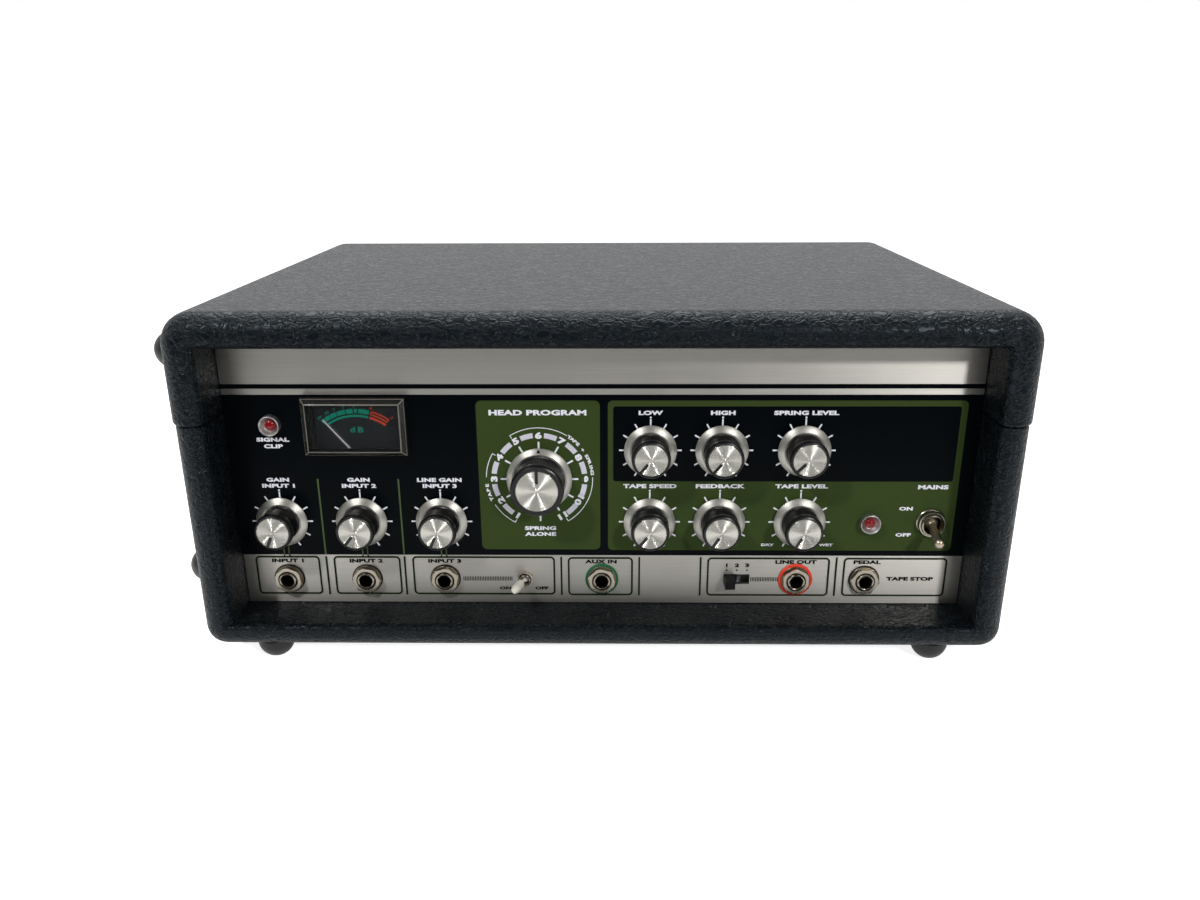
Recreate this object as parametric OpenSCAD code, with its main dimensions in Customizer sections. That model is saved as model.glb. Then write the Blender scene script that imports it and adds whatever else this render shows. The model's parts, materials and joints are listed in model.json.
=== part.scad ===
// Tape echo unit: a vinyl-covered wooden case with a lift-off lid, a recessed control panel
// and a loop-tape transport inside. Millimetres, +Z up, the controls face -Y.
// The origin is at the middle of the bounding box's bottom, on the surface it stands on.

/* [Case] */
// Width of the lid from side to side
case_w = 415; // [412:1:430]
// Depth of the case from front to back
case_d = 310; // [306:1:330]
// Height of the case without its feet
case_h = 174; // [174:1:186]
// Height of the lid above the seam
lid_h = 54.3; // [50:0.1:56]
// How far the lid stands proud of the base on each side
lid_step = 1.1; // [0.8:0.1:2]
// Thickness of the plywood walls
wall_t = 12; // [10:0.5:13]
// Width of the front frame beside the panel
frame_side = 17.25; // [15:0.25:18]
// Thickness of the front frame above the panel
frame_top = 17; // [14:0.5:18]
// Thickness of the floor board
floor_t = 14; // [12:0.5:15]
// Depth of the panel behind the front of the case
recess = 28; // [26:0.5:32]
// Radius of the front and back edges
edge_r = 11; // [8:0.5:12]
// Radius of the lid's long side edges
side_r = 16; // [12:0.5:18]
// Radius of the frame's inner edge
lip_r = 5; // [3:0.5:6]

/* [Feet and handle] */
// Height of a rubber foot
foot_h = 11; // [9:0.5:14]
// Radius of a rubber foot at its widest
foot_r = 9.5; // [8:0.5:10]
// Distance of the floor feet from the front and the back
foot_inset = 17.5; // [16:0.5:40]
// Distance of the floor feet from the middle of the case
foot_x = 174; // [160:1:178]
// Distance of the side feet from the front and the back
side_foot_inset = 28; // [24:1:40]
// Distance from the case's side to the outside of the handle
handle_h = 27; // [24:1:34]
// Distance between the handle's two bracket screws
handle_span = 148; // [140:1:200]
// Width of the handle strap
strap_w = 26; // [22:1:32]
// Thickness of the handle strap
strap_t = 6; // [5:0.5:8]

/* [Front panel] */
// Thickness of the panel plate
panel_t = 2; // [1.5:0.25:3]
// Distance from the panel's middle to the first column of controls
col_1 = -166.6; // [-168:0.1:-165]
// Distance between the three input columns
col_step = 41.8; // [40:0.1:42.5]
// Place of the first tone column
col_4 = 25.35; // [24:0.05:27]
// Place of the second tone column
col_5 = 61.5; // [59:0.5:63]
// Place of the third tone column
col_6 = 103.1; // [101:0.1:104]
// Place of the power lamp's column
col_7 = 139.4; // [138:0.1:141]
// Place of the power toggle's column
col_8 = 170.9; // [169:0.1:172]
// Height of the socket row above the case floor line
row_jack = 39.3; // [38:0.1:41]
// Height of the lower knob row
row_low = 72.1; // [71:0.1:74]
// Height of the upper knob row
row_high = 111.1; // [109:0.1:113]
// Height of the peak lamp
row_peak = 124.7; // [122:0.1:126]

/* [Knobs] */
// Radius of a small knob's skirt
skirt_r = 13.4; // [12:0.1:14]
// Radius of a small knob's fluted body
grip_r = 9.6; // [9:0.1:10]
// Radius of a small knob's metal cap
cap_r = 8.2; // [7.5:0.1:8.6]
// Height of a small knob over the panel
knob_h = 17.5; // [16:0.5:20]
// Radius of the selector knob's skirt
mode_skirt_r = 16.8; // [16:0.1:18]
// Radius of the selector knob's fluted body
mode_grip_r = 13.3; // [12.5:0.1:14]
// Radius of the selector knob's metal cap
mode_cap_r = 10.6; // [10:0.1:11]
// Height of the selector knob over the panel
mode_h = 19.5; // [18:0.5:22]
// Radius of the knob shafts
shaft_r = 3; // [2.5:0.1:3.2]
// Place of the selector knob from the panel's middle
mode_x = -31.35; // [-33:0.05:-30]
// Height of the selector knob
mode_z = 95.6; // [94:0.1:97]

/* [Sockets and switches] */
// Radius of the jack sockets' bores
jack_bore_r = 3.25; // [3.2:0.01:3.3]
// Radius of the jack sockets' threaded bushings
jack_bush_r = 4.7; // [4.5:0.1:5]
// Depth of the jack sockets' bores
jack_depth = 31; // [28:1:34]
// Place of the amplifier socket
amp_jack_x = 0.5; // [-1:0.5:2]
// Distance across the flats of the jack nuts
jack_nut_af = 13.2; // [12:0.1:14]
// Radius of the power toggle's bushing
toggle_bush_r = 6; // [5.8:0.1:6.5]
// Length of the power toggle's lever from its pivot
toggle_l = 19.7; // [18:0.1:24]
// Angle of the power toggle's lever at rest
toggle_tilt = 15.6; // [12:0.1:17]
// Place of the small toggle
mini_x = -40.4; // [-42:0.1:-39]
// Length of the small toggle's lever from its pivot
mini_l = 16.5; // [14:0.5:18]
// Angle of the small toggle's lever at rest
mini_tilt = 16; // [12:0.5:18]
// Place of the slide switch's slot
slot_x = 72; // [70:0.5:74]
// Length of the slide switch's slot
slot_w = 13.7; // [13.5:0.1:16]
// Height of the slide switch's slot
slot_h = 5.8; // [5:0.1:7]
// Travel of the slide switch
slide_travel = 8; // [6:0.5:8]

/* [Meter and lamps] */
// Width of the meter's clear cover
meter_w = 51.9; // [50:0.1:54]
// Height of the meter's clear cover
meter_h = 29.5; // [28:0.1:31]
// Place of the meter's middle
meter_x = -123.4; // [-125:0.1:-122]
// Height of the meter's middle
meter_z = 124.2; // [123:0.1:125]
// How far the meter's cover stands over the panel
meter_rise = 7; // [5:0.5:9]
// Distance of the needle's pivot below the meter's middle
needle_drop = 19.2; // [18:0.1:20]
// Length of the needle from its pivot
needle_l = 27.4; // [26:0.1:28]
// Angle of the needle at rest, left of upright
needle_rest = 40; // [36:1:42]
// Radius of a lamp's chrome bezel
bezel_r = 5.25; // [5:0.05:6]
// Height of a lamp's chrome bezel
bezel_h = 4.5; // [4:0.5:6]
// Depth of the cup in a lamp's bezel
cup_depth = 3.2; // [2.5:0.1:3.5]
// Radius of a lamp's red lens
lens_r = 2.4; // [2.2:0.1:2.8]

/* [Tape transport] */
// Thickness of the transport deck
deck_t = 2; // [1.5:0.5:3]
// Distance of the deck's top below the seam
deck_drop = 2; // [1:0.5:4]
// Height of the tape above the deck
tape_z = 12; // [11:0.5:13]
// Width of the tape
tape_w = 6.35; // [6.3:0.01:6.5]
// Drawn thickness of the tape
tape_t = 0.4; // [0.3:0.05:0.5]
// Depth of the tape's straight run behind the front of the case
tape_run = 92.5; // [91:0.5:94]
// Number of folds that the tape makes in its bin
tape_folds = 8; // [6:2:10]
// Radius of the tape guides
guide_r = 4; // [3:0.5:5]
// Distance from the tape bin to the deck's back edge
bin_gap = 17; // [12:0.5:25]
// Height of the tape bin
bin_h = 17; // [16:0.5:18]
// Radius of the capstan
capstan_r = 3.5; // [3:0.1:4]
// Place of the capstan from the middle of the case
capstan_x = 112; // [110:0.5:113]
// Radius of the flywheel
flywheel_r = 36; // [30:1:37]
// Radius of the motor pulley
pulley_r = 9; // [7:0.5:10]
// Radius of the pinch roller
roller_r = 11; // [9:0.5:12]
// Distance that the pinch roller moves to reach the tape
pinch_travel = 3.6; // [3:0.1:4]
// Length of the pinch arm
arm_l = 60; // [58:0.5:60]
// Distance from the arm's pivot to the solenoid's plunger
plunger_arm = 30; // [28:0.5:32]

/* [Hidden] */
$fn = 64;

// Gap round a piece that seats in another, and round a shaft that turns in its bore
seat_gap = 0.05;
run_gap = 0.06;
// Gap between pieces that move past each other
part_gap = 0.3;
// Overshoot of a cut past the face that it opens
cut = 1;

// Frame of the case
base_w = case_w - 2 * lid_step;
mid_x = (foot_h - handle_h) / 2;
front_y = -case_d / 2;
back_y = case_d / 2;
panel_y = front_y + recess;
base_z = foot_h;
top_z = foot_h + case_h;
seam_z = top_z - lid_h;
floor_z = base_z + floor_t;
opening_w = case_w - 2 * frame_side;
inside_w = case_w - 2 * wall_t;
inside_front = panel_y + panel_t + 2;
inside_back = back_y - wall_t;
roof_z = top_z - wall_t;

// Panel
panel_gap = 0.4;
panel_w = opening_w - 2 * panel_gap;
panel_z0 = floor_z + panel_gap;
panel_z1 = top_z - frame_top - 2;

col_2 = col_1 + col_step;
col_3 = col_2 + col_step;

// Colours
vinyl = "#1d1e20";
rubber = "#161616";
steel = "#b9bbbd";
bright = "#d4d5d6";
black = "#121214";
green = "#3c5330";

// ---------------------------------------------------------------- helpers

// A flat rectangle with round corners, standing on its lower edge's middle
module round_rect(w, h, r_top, r_low) {
    translate([-w / 2, r_low]) square([w, h - r_low - r_top]);
    translate([-w / 2 + r_top, h - r_top]) square([w - 2 * r_top, r_top]);
    translate([-w / 2 + r_low, 0]) square([w - 2 * r_low, r_low]);
    for (s = [-1, 1]) {
        translate([s * (w / 2 - r_top), h - r_top]) circle(r_top);
        translate([s * (w / 2 - r_low), r_low]) circle(r_low);
    }
}

// The whole case as one rounded block of width w
module case_block(w) {
    intersection() {
        translate([mid_x, back_y, base_z]) rotate([90, 0, 0])
            linear_extrude(case_d) round_rect(w, case_h, side_r, edge_r);
        translate([mid_x - w / 2, 0, base_z]) rotate([90, 0, 90])
            linear_extrude(w) round_rect(case_d, case_h, edge_r, edge_r);
        translate([mid_x, front_y, base_z])
            linear_extrude(case_h) round_rect(w, case_d, edge_r, edge_r);
    }
}

// A bar that rounds off an inner edge: cut away, it leaves a quarter circle of radius r
module edge_cutter(length, r) {
    linear_extrude(length) difference() {
        translate([-cut, -cut]) square(r + cut);
        translate([r, r]) circle(r);
    }
}

// Puts a child whose +Z points out of the panel at x from the panel's middle and height z
module on_panel(x, z) {
    translate([mid_x + x, panel_y, z]) rotate([90, 0, 0]) children();
}

// A tube from z0 to z1
module tube(r_out, r_in, z0, z1) {
    translate([0, 0, z0]) difference() {
        cylinder(h = z1 - z0, r = r_out);
        translate([0, 0, -cut]) cylinder(h = z1 - z0 + 2 * cut, r = r_in);
    }
}

// A hexagonal nut with a hole of radius r
module hex_nut(af, r, z0, z1) {
    translate([0, 0, z0]) difference() {
        rotate([0, 0, 30]) cylinder(h = z1 - z0, r = af / sqrt(3), $fn = 6);
        translate([0, 0, -cut]) cylinder(h = z1 - z0 + 2 * cut, r = r);
    }
}

// A box centred in x and y, from z0 to z1
module block(w, d, z0, z1) {
    translate([-w / 2, -d / 2, z0]) cube([w, d, z1 - z0]);
}

// A fluted outline of mean radius r with n ridges
module fluted(r, n, depth) {
    polygon([for (i = [0:2 * n - 1])
        let (a = i * 180 / n, q = r - (i % 2) * depth) [q * cos(a), q * sin(a)]]);
}

// How much of a foot's dome is cut off flat
foot_flat = 0.6;

// A rubber foot: a dome with a flat tip on z = 0, and straight sides above it
module rubber_foot() {
    dome_z = min(foot_r, foot_h) - foot_flat;
    intersection() {
        union() {
            translate([0, 0, dome_z]) sphere(foot_r);
            translate([0, 0, dome_z]) cylinder(h = foot_h - dome_z, r = foot_r);
        }
        cylinder(h = foot_h, r = foot_r + cut);
    }
}

// ---------------------------------------------------------------- case

catch_r = 2.5;
catch_len = 9;
catch_inset = 45;
catch_x = inside_w / 2 + wall_t / 2 - lid_step / 2;
window_w = 300;
window_h = 72;
window_z = floor_z + 14;

module catch_places() {
    for (sx = [-1, 1], sy = [-1, 1])
        translate([mid_x + sx * catch_x, sy * (case_d / 2 - catch_inset), seam_z]) children();
}

module base_case() {
    color(vinyl) difference() {
        intersection() {
            case_block(base_w);
            translate([mid_x - base_w / 2, front_y, base_z])
                cube([base_w, case_d, seam_z - base_z]);
        }
        translate([mid_x - opening_w / 2, front_y - cut, floor_z])
            cube([opening_w, inside_front - front_y + 2 * cut, case_h]);
        translate([mid_x - inside_w / 2, inside_front, floor_z])
            cube([inside_w, inside_back - inside_front, case_h]);
        translate([mid_x - window_w / 2, inside_back - cut, window_z])
            cube([window_w, wall_t + 2 * cut, window_h]);
        translate([mid_x - opening_w / 2, front_y, floor_z]) rotate([90, 0, 90])
            mirror([0, 1, 0]) edge_cutter(opening_w, lip_r);
        for (s = [-1, 1])
            translate([mid_x + s * opening_w / 2, front_y, floor_z])
                mirror([s > 0 ? 0 : 1, 0, 0]) edge_cutter(case_h, lip_r);
        catch_places() translate([0, 0, -catch_len - cut])
            cylinder(h = catch_len + 2 * cut, r = catch_r + run_gap);
    }
}

module lid() {
    color(vinyl) difference() {
        intersection() {
            case_block(case_w);
            translate([mid_x - case_w / 2, front_y, seam_z])
                cube([case_w, case_d, lid_h]);
        }
        translate([mid_x - opening_w / 2, front_y - cut, seam_z - cut])
            cube([opening_w, inside_front - front_y + 2 * cut, lid_h - frame_top + cut]);
        translate([mid_x - inside_w / 2, inside_front, seam_z - cut])
            cube([inside_w, inside_back - inside_front, roof_z - seam_z + cut]);
        translate([mid_x - opening_w / 2, front_y, top_z - frame_top]) rotate([90, 0, 90])
            edge_cutter(opening_w, lip_r);
        for (s = [-1, 1])
            translate([mid_x + s * opening_w / 2, front_y, seam_z - cut])
                mirror([s > 0 ? 0 : 1, 0, 0]) edge_cutter(lid_h - frame_top + cut, lip_r);
    }
}

module lid_catches() {
    color(steel) catch_places() translate([0, 0, -catch_len])
        cylinder(h = catch_len, r = catch_r);
}

module floor_feet() {
    for (sx = [-1, 1], sy = [-1, 1])
        translate([mid_x + sx * foot_x, sy * (case_d / 2 - foot_inset), 0]) rubber_foot();
}

side_foot_low_z = base_z + 36.5;
side_foot_high_z = top_z - 22;

module side_feet(w, z) {
    for (sy = [-1, 1])
        translate([mid_x - w / 2 - foot_h, sy * (case_d / 2 - side_foot_inset), z])
            rotate([0, 90, 0]) rubber_foot();
}

// Six feet on the base, four below and two on its left side, and two on the lid's left side
module base_feet() {
    color(rubber) {
        floor_feet();
        side_feet(base_w, side_foot_low_z);
    }
}

module lid_feet() {
    color(rubber) side_feet(case_w, side_foot_high_z);
}

// ---------------------------------------------------------------- handle

handle_z = base_z + 74;
strap_lift = 5;
strap_end = 9;
bracket_l = 28;
bracket_wall = 2;
handle_face = mid_x + base_w / 2;
strap_out = handle_h + lid_step;
strap_chord = handle_span / 2 + bracket_l / 4;
strap_sag = strap_out - strap_end;
strap_r = (strap_chord * strap_chord + strap_sag * strap_sag) / (2 * strap_sag);
bracket_y = handle_span / 2 - bracket_l / 2;
strap_reach = strap_out - strap_r + sqrt(strap_r * strap_r - bracket_y * bracket_y);
bracket_out = strap_reach + strap_lift + part_gap + bracket_wall;
bracket_r = 5;

// The strap bows out from the side in one flat arc, with both ends inside their brackets
module handle_strap() {
    color(black) translate([handle_face, 0, handle_z - strap_w / 2]) intersection() {
        translate([strap_out - strap_r, 0, 0]) tube(strap_r, strap_r - strap_t, 0, strap_w);
        translate([0, -strap_chord, -cut])
            cube([strap_out + cut, 2 * strap_chord, strap_w + 2 * cut]);
    }
}

// Each bracket is a pressed cap, open towards the middle, in which the strap's end slides out
module handle_brackets() {
    inner_w = strap_w + 2 * part_gap;
    outer_w = inner_w + 2 * bracket_wall;
    color(bright) for (s = [-1, 1])
        translate([handle_face, s * handle_span / 2, handle_z]) difference() {
            translate([0, 0, -outer_w / 2]) linear_extrude(outer_w) intersection() {
                translate([0, -bracket_l / 2]) square([bracket_out, bracket_l]);
                union() {
                    translate([0, -bracket_l]) square([bracket_out - bracket_r, 2 * bracket_l]);
                    translate([0, s > 0 ? -bracket_l : bracket_r - bracket_l / 2])
                        square([bracket_out, 1.5 * bracket_l - bracket_r]);
                    translate([bracket_out - bracket_r, s * (bracket_l / 2 - bracket_r)])
                        circle(bracket_r);
                }
            }
            translate([bracket_wall, -bracket_l / 2 - (s > 0 ? cut : -bracket_wall), -inner_w / 2])
                cube([bracket_out - 2 * bracket_wall, bracket_l - bracket_wall + cut, inner_w]);
        }
}

// ---------------------------------------------------------------- back

gland_x = window_w / 2 - 30;
fuse_x = gland_x - 28;
rear_t = 1.5;
gland_r = 8;
gland_bore_r = 3.6;
gland_len = 16;
gland_out = 9;
fuse_r = 6;
vent_w = 4;
vent_h = 26;
vent_step = 9;
vents = 16;
rear_z = window_z + window_h / 2;

// Puts a child whose +Z points out of the back at x from the middle of the case and height z
module on_back(x, z) {
    translate([mid_x + x, inside_back, z]) rotate([-90, 0, 0]) children();
}

module rear_panel() {
    border = 8;
    color(black) difference() {
        translate([mid_x - window_w / 2 - border, inside_back - rear_t, window_z - border])
            cube([window_w + 2 * border, rear_t, window_h + 2 * border]);
        on_back(gland_x, rear_z) translate([0, 0, -rear_t - cut])
            cylinder(h = rear_t + 2 * cut, r = gland_r - 1.5 + seat_gap);
        on_back(fuse_x, rear_z) translate([0, 0, -rear_t - cut])
            cylinder(h = rear_t + 2 * cut, r = fuse_r + seat_gap);
        for (i = [0:vents - 1])
            translate([mid_x - 135 + i * vent_step, inside_back - rear_t - cut, rear_z - vent_h / 2])
                cube([vent_w, rear_t + 2 * cut, vent_h]);
    }
}

module cord_gland() {
    color(black) on_back(gland_x, rear_z) difference() {
        union() {
            cylinder(h = gland_out, r = gland_r);
            translate([0, 0, gland_out - gland_len]) cylinder(h = gland_len, r = gland_r - 1.5);
        }
        translate([0, 0, gland_out - gland_len - cut])
            cylinder(h = gland_len + 2 * cut, r = gland_bore_r);
    }
}

module fuse_holder() {
    fuse_depth = 28;
    fuse_out = 8;
    color(black) on_back(fuse_x, rear_z) union() {
        translate([0, 0, -fuse_depth]) cylinder(h = fuse_depth, r = fuse_r);
        cylinder(h = 2, r = fuse_r + 2);
        translate([0, 0, 2]) linear_extrude(fuse_out - 2) fluted(fuse_r, 16, 0.6);
    }
}

// ---------------------------------------------------------------- panel

pot_bush_r = 4.5;
selector_bush_r = 5;
jack_xs = [col_1, col_2, col_3, amp_jack_x, col_6, col_7];
small_knobs = [[col_1, row_low], [col_2, row_low], [col_3, row_low],
    [col_4, row_high], [col_5, row_high], [col_6, row_high],
    [col_4, row_low], [col_5, row_low], [col_6, row_low]];
meter_hole_w = meter_w - 5;
meter_hole_h = meter_h - 4;
lamp_barrel_r = 4;
mini_bush_r = 3;
lamps = [[col_1, row_peak], [col_7, row_low]];

module panel_hole(x, z, r) {
    on_panel(x, z) translate([0, 0, -panel_t - cut])
        cylinder(h = panel_t + 2 * cut, r = r + seat_gap);
}

module front_panel() {
    color(steel) difference() {
        translate([mid_x - panel_w / 2, panel_y, panel_z0])
            cube([panel_w, panel_t, panel_z1 - panel_z0]);
        for (k = small_knobs) panel_hole(k[0], k[1], pot_bush_r);
        for (x = jack_xs) panel_hole(x, row_jack, jack_bush_r);
        for (k = lamps) panel_hole(k[0], k[1], lamp_barrel_r);
        panel_hole(mode_x, mode_z, selector_bush_r);
        panel_hole(col_8, row_low, toggle_bush_r);
        panel_hole(mini_x, row_jack, mini_bush_r);
        on_panel(meter_x, meter_z) block(meter_hole_w, meter_hole_h, -panel_t - cut, cut);
        on_panel(slot_x, row_jack) block(slot_w, slot_h, -panel_t - cut, cut);
    }
}

// ---------------------------------------------------------------- knobs

knob_lift = 1;
hub_z = 6;
shaft_in = 14;
flutes = 30;
cap_rise = 1.2;
rim = 0.2;
pot_r = 12;
pot_depth = 13;
bush_out = 4;

// A knob with its shaft: skirt, fluted body with a rim, metal cap with a pointer line.
// The pointer stands at angle p from the top, anticlockwise as seen from the front.
module knob(skirt, grip, cap, height, p) {
    well_r = min(grip - 2, selector_bush_r + 3);
    difference() {
        union() {
            translate([0, 0, knob_lift]) cylinder(h = 1.2, r = skirt);
            translate([0, 0, knob_lift + 1.2]) cylinder(h = 1.8, r1 = skirt, r2 = grip + 1.2);
            translate([0, 0, knob_lift]) linear_extrude(height - knob_lift - cap_rise - 1)
                fluted(grip, flutes, 0.5);
            translate([0, 0, height - cap_rise - 1]) cylinder(h = 1, r = grip + rim);
            translate([0, 0, height - cap_rise - 2]) cylinder(h = cap_rise + 2, r = cap);
        }
        translate([0, 0, -cut]) cylinder(h = hub_z + cut, r = well_r);
        rotate([0, 0, p]) translate([-0.4, 1, height - 0.3]) cube([0.8, cap, cut]);
    }
    translate([0, 0, -shaft_in]) cylinder(h = shaft_in + hub_z + 1, r = shaft_r);
}

module small_knob(i, p) {
    color(black) on_panel(small_knobs[i][0], small_knobs[i][1])
        knob(skirt_r, grip_r, cap_r, knob_h, p);
}

// Where the pointers stand at rest, fully anticlockwise, each set by hand on its shaft
low_set = 156;
high_set = 141;

module input_1_knob() {
    small_knob(0, low_set);
}

module input_2_knob() {
    small_knob(1, high_set);
}

module input_3_knob() {
    small_knob(2, low_set);
}

module bass_knob() {
    small_knob(3, high_set);
}

module treble_knob() {
    small_knob(4, high_set);
}

module reverb_knob() {
    small_knob(5, high_set);
}

module rate_knob() {
    small_knob(6, high_set);
}

module intensity_knob() {
    small_knob(7, high_set);
}

module echo_knob() {
    small_knob(8, high_set);
}

module selector_knob() {
    color(black) on_panel(mode_x, mode_z)
        knob(mode_skirt_r, mode_grip_r, mode_cap_r, mode_h, 0);
}

// A pot or rotary switch behind the panel, with its bushing, nut and blind shaft bore
module control(body_r, depth, bush_r) {
    difference() {
        union() {
            translate([0, 0, -panel_t - depth]) cylinder(h = depth, r = body_r);
            translate([0, 0, -panel_t]) cylinder(h = panel_t + bush_out, r = bush_r);
            hex_nut(2 * bush_r + 2.5, bush_r - 0.1, 0, 2);
        }
        translate([0, 0, -shaft_in - 1]) cylinder(h = shaft_in + bush_out + 2, r = shaft_r + run_gap);
    }
}

module pots() {
    color(steel) for (k = small_knobs)
        on_panel(k[0], k[1]) control(pot_r, pot_depth, pot_bush_r);
}

module selector_switch() {
    color(steel) on_panel(mode_x, mode_z) control(16, 26, selector_bush_r);
}

// ---------------------------------------------------------------- sockets

ring_t = 0.8;
washer_t = 0.6;
nut_t = 2.2;
ring_black_r = 8.1;
ring_green_r = 8.8;
ring_red_r = 9.05;
washer_r = 7.65;
jack_out = ring_t + washer_t + nut_t + 1.2;

module jack_sockets() {
    body_w = 16;
    body_h = 21;
    color(steel) for (x = jack_xs) on_panel(x, row_jack) difference() {
        union() {
            translate([0, 0, -panel_t - cut]) cylinder(h = panel_t + cut + jack_out, r = jack_bush_r);
            block(body_w, body_h, -panel_t - jack_depth, -panel_t);
        }
        translate([0, 0, jack_out - jack_depth]) cylinder(h = jack_depth + cut, r = jack_bore_r);
    }
}

module jack_ring(x, r) {
    on_panel(x, row_jack) tube(r, jack_bush_r + seat_gap, 0, ring_t);
}

module jack_rings_black() {
    color(black) for (x = [col_1, col_2, col_3, col_7]) jack_ring(x, ring_black_r);
}

module jack_ring_green() {
    color("#1f7a50") jack_ring(amp_jack_x, ring_green_r);
}

module jack_ring_red() {
    color("#d8442c") jack_ring(col_6, ring_red_r);
}

module jack_washers() {
    color(bright) for (x = jack_xs) on_panel(x, row_jack)
        tube(washer_r, jack_bush_r + seat_gap, ring_t, ring_t + washer_t);
}

module jack_nuts() {
    color(bright) for (x = jack_xs) on_panel(x, row_jack)
        hex_nut(jack_nut_af, jack_bush_r + seat_gap, ring_t + washer_t, ring_t + washer_t + nut_t);
}

// ---------------------------------------------------------------- switches

ball_r = 4;
bush_top = 5.5;
power_body_w = 18;
power_body_h = 28;
power_body_d = 24;

// A toggle switch: body behind the panel and a bushing with a round socket for the lever
module toggle_body(w, h, depth, bush_r, ball, out, pin_dir) {
    difference() {
        union() {
            block(w, h, -panel_t - depth, -panel_t);
            translate([0, 0, -panel_t]) cylinder(h = panel_t + out, r = bush_r);
        }
        sphere(ball + part_gap);
        cylinder(h = out + cut, r = ball + part_gap);
        toggle_pin(ball + 2.5 * part_gap, toggle_pin_r + run_gap, pin_dir);
    }
}

toggle_pin_r = 0.4;

// The cross pin on which a toggle's ball rocks, along the panel's x or up it
module toggle_pin(half, r, pin_dir) {
    rotate(pin_dir) translate([0, 0, -half]) cylinder(h = 2 * half, r = r);
}

pin_across = [0, 90, 0];
pin_upright = [90, 0, 0];

// A toggle's lever along +Z from its ball
module toggle_arm(ball, r_low, r_tip, length, pin_dir) {
    sphere(ball);
    cylinder(h = length - r_tip, r1 = r_low, r2 = r_tip);
    translate([0, 0, length - r_tip]) sphere(r_tip);
    toggle_pin(ball + 2 * part_gap, toggle_pin_r, pin_dir);
}

module power_switch() {
    color(steel) on_panel(col_8, row_low)
        toggle_body(power_body_w, power_body_h, power_body_d, toggle_bush_r, ball_r, bush_top, pin_across);
}

module power_nut() {
    color(bright) on_panel(col_8, row_low) {
        tube(7.6, toggle_bush_r + seat_gap, 0, 1.2);
        tube(7.1, toggle_bush_r + seat_gap, 1.2, 4);
    }
}

module power_lever() {
    color(bright) on_panel(col_8, row_low) rotate([toggle_tilt, 0, 0])
        toggle_arm(ball_r, 2, 2.6, toggle_l, pin_across);
}

mini_ball_r = 2;
mini_out = 3.6;
mini_neck_r = 0.7;

module mini_switch() {
    color(steel) on_panel(mini_x, row_jack) union() {
        toggle_body(13, 8, 10, mini_bush_r, mini_ball_r, mini_out, pin_upright);
        hex_nut(8, mini_bush_r - 0.1, 0, 1.8);
    }
}

module mini_lever() {
    color("ivory") on_panel(mini_x, row_jack) rotate([0, -mini_tilt, 0])
        toggle_arm(mini_ball_r, mini_neck_r, 2.3, mini_l, pin_upright);
}

button_w = 5.2;
button_h = 5;
button_out = 8;
slide_depth = 8;
slide_wall = 1.5;
carrier_t = 3;

// A shell behind the slot, open to the front, in which the button's carrier slides
module slide_switch() {
    shell_w = slot_w + 12;
    shell_h = slot_h + 6;
    color(steel) on_panel(slot_x, row_jack) difference() {
        block(shell_w, shell_h, -panel_t - slide_depth, -panel_t);
        block(shell_w - 2 * slide_wall, shell_h - 2 * slide_wall,
            -panel_t - slide_depth + slide_wall, -panel_t + cut);
    }
}

module slide_button() {
    button_x = slot_x - slide_travel / 2;
    color(black) on_panel(button_x, row_jack) {
        block(button_w, button_h, -panel_t - 2, button_out);
        block(button_w + 4, slot_h + 2, -panel_t - part_gap - carrier_t, -panel_t - part_gap);
    }
}

// ---------------------------------------------------------------- meter and lamps

meter_wall = 1.5;
meter_depth = 22;
dial_z = -panel_t - 2;
dial_t = 0.6;
needle_z = dial_z + 0.7;
needle_pin_r = 0.8;
needle_w = 0.5;
case_low = needle_drop + 5;
case_half = meter_hole_w / 2;

// The movement's case behind the panel, open to the front, with the pivot's bearing post
module meter_case() {
    case_hgt = case_low + meter_hole_h / 2;
    color(black) on_panel(meter_x, meter_z) {
        difference() {
            translate([-case_half, -case_low, -panel_t - meter_depth])
                cube([2 * case_half, case_hgt, meter_depth]);
            translate([-case_half + meter_wall, -case_low + meter_wall,
                -panel_t - meter_depth + meter_wall])
                cube([2 * (case_half - meter_wall), case_hgt - 2 * meter_wall, meter_depth]);
        }
        translate([0, -needle_drop, 0])
            tube(2.4, needle_pin_r + run_gap, -panel_t - meter_depth + meter_wall, dial_z - dial_t);
    }
}

module meter_dial() {
    dial_w = 2 * (case_half - meter_wall);
    dial_top = meter_hole_h / 2 - meter_wall;
    color("#26282a") on_panel(meter_x, meter_z) difference() {
        translate([-dial_w / 2, -case_low + meter_wall, dial_z - dial_t])
            cube([dial_w, dial_top + case_low - meter_wall, dial_t]);
        translate([0, -needle_drop, dial_z - dial_t - cut])
            cylinder(h = dial_t + 2 * cut, r = 2);
    }
}

module meter_needle() {
    color("white") on_panel(meter_x, meter_z) translate([0, -needle_drop, 0])
        rotate([0, 0, needle_rest]) {
            translate([0, 0, dial_z - 8]) cylinder(h = needle_z - dial_z + 8.3, r = needle_pin_r);
            translate([0, 0, needle_z]) cylinder(h = 0.4, r = 1.6);
            translate([-needle_w / 2, 0, needle_z]) cube([needle_w, needle_l, 0.4]);
        }
}

// A clear bevelled cover, hollow behind, flat on the panel
module meter_cover() {
    cover_t = 1.5;
    slope = 2.4;
    color("lightgray", 0.35) on_panel(meter_x, meter_z) difference() {
        hull() {
            block(meter_w, meter_h, 0, meter_rise - slope);
            block(meter_w - 2 * slope, meter_h - 2 * slope, 0, meter_rise);
        }
        block(meter_hole_w, meter_hole_h, -cut, meter_rise - cover_t);
    }
}

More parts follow.
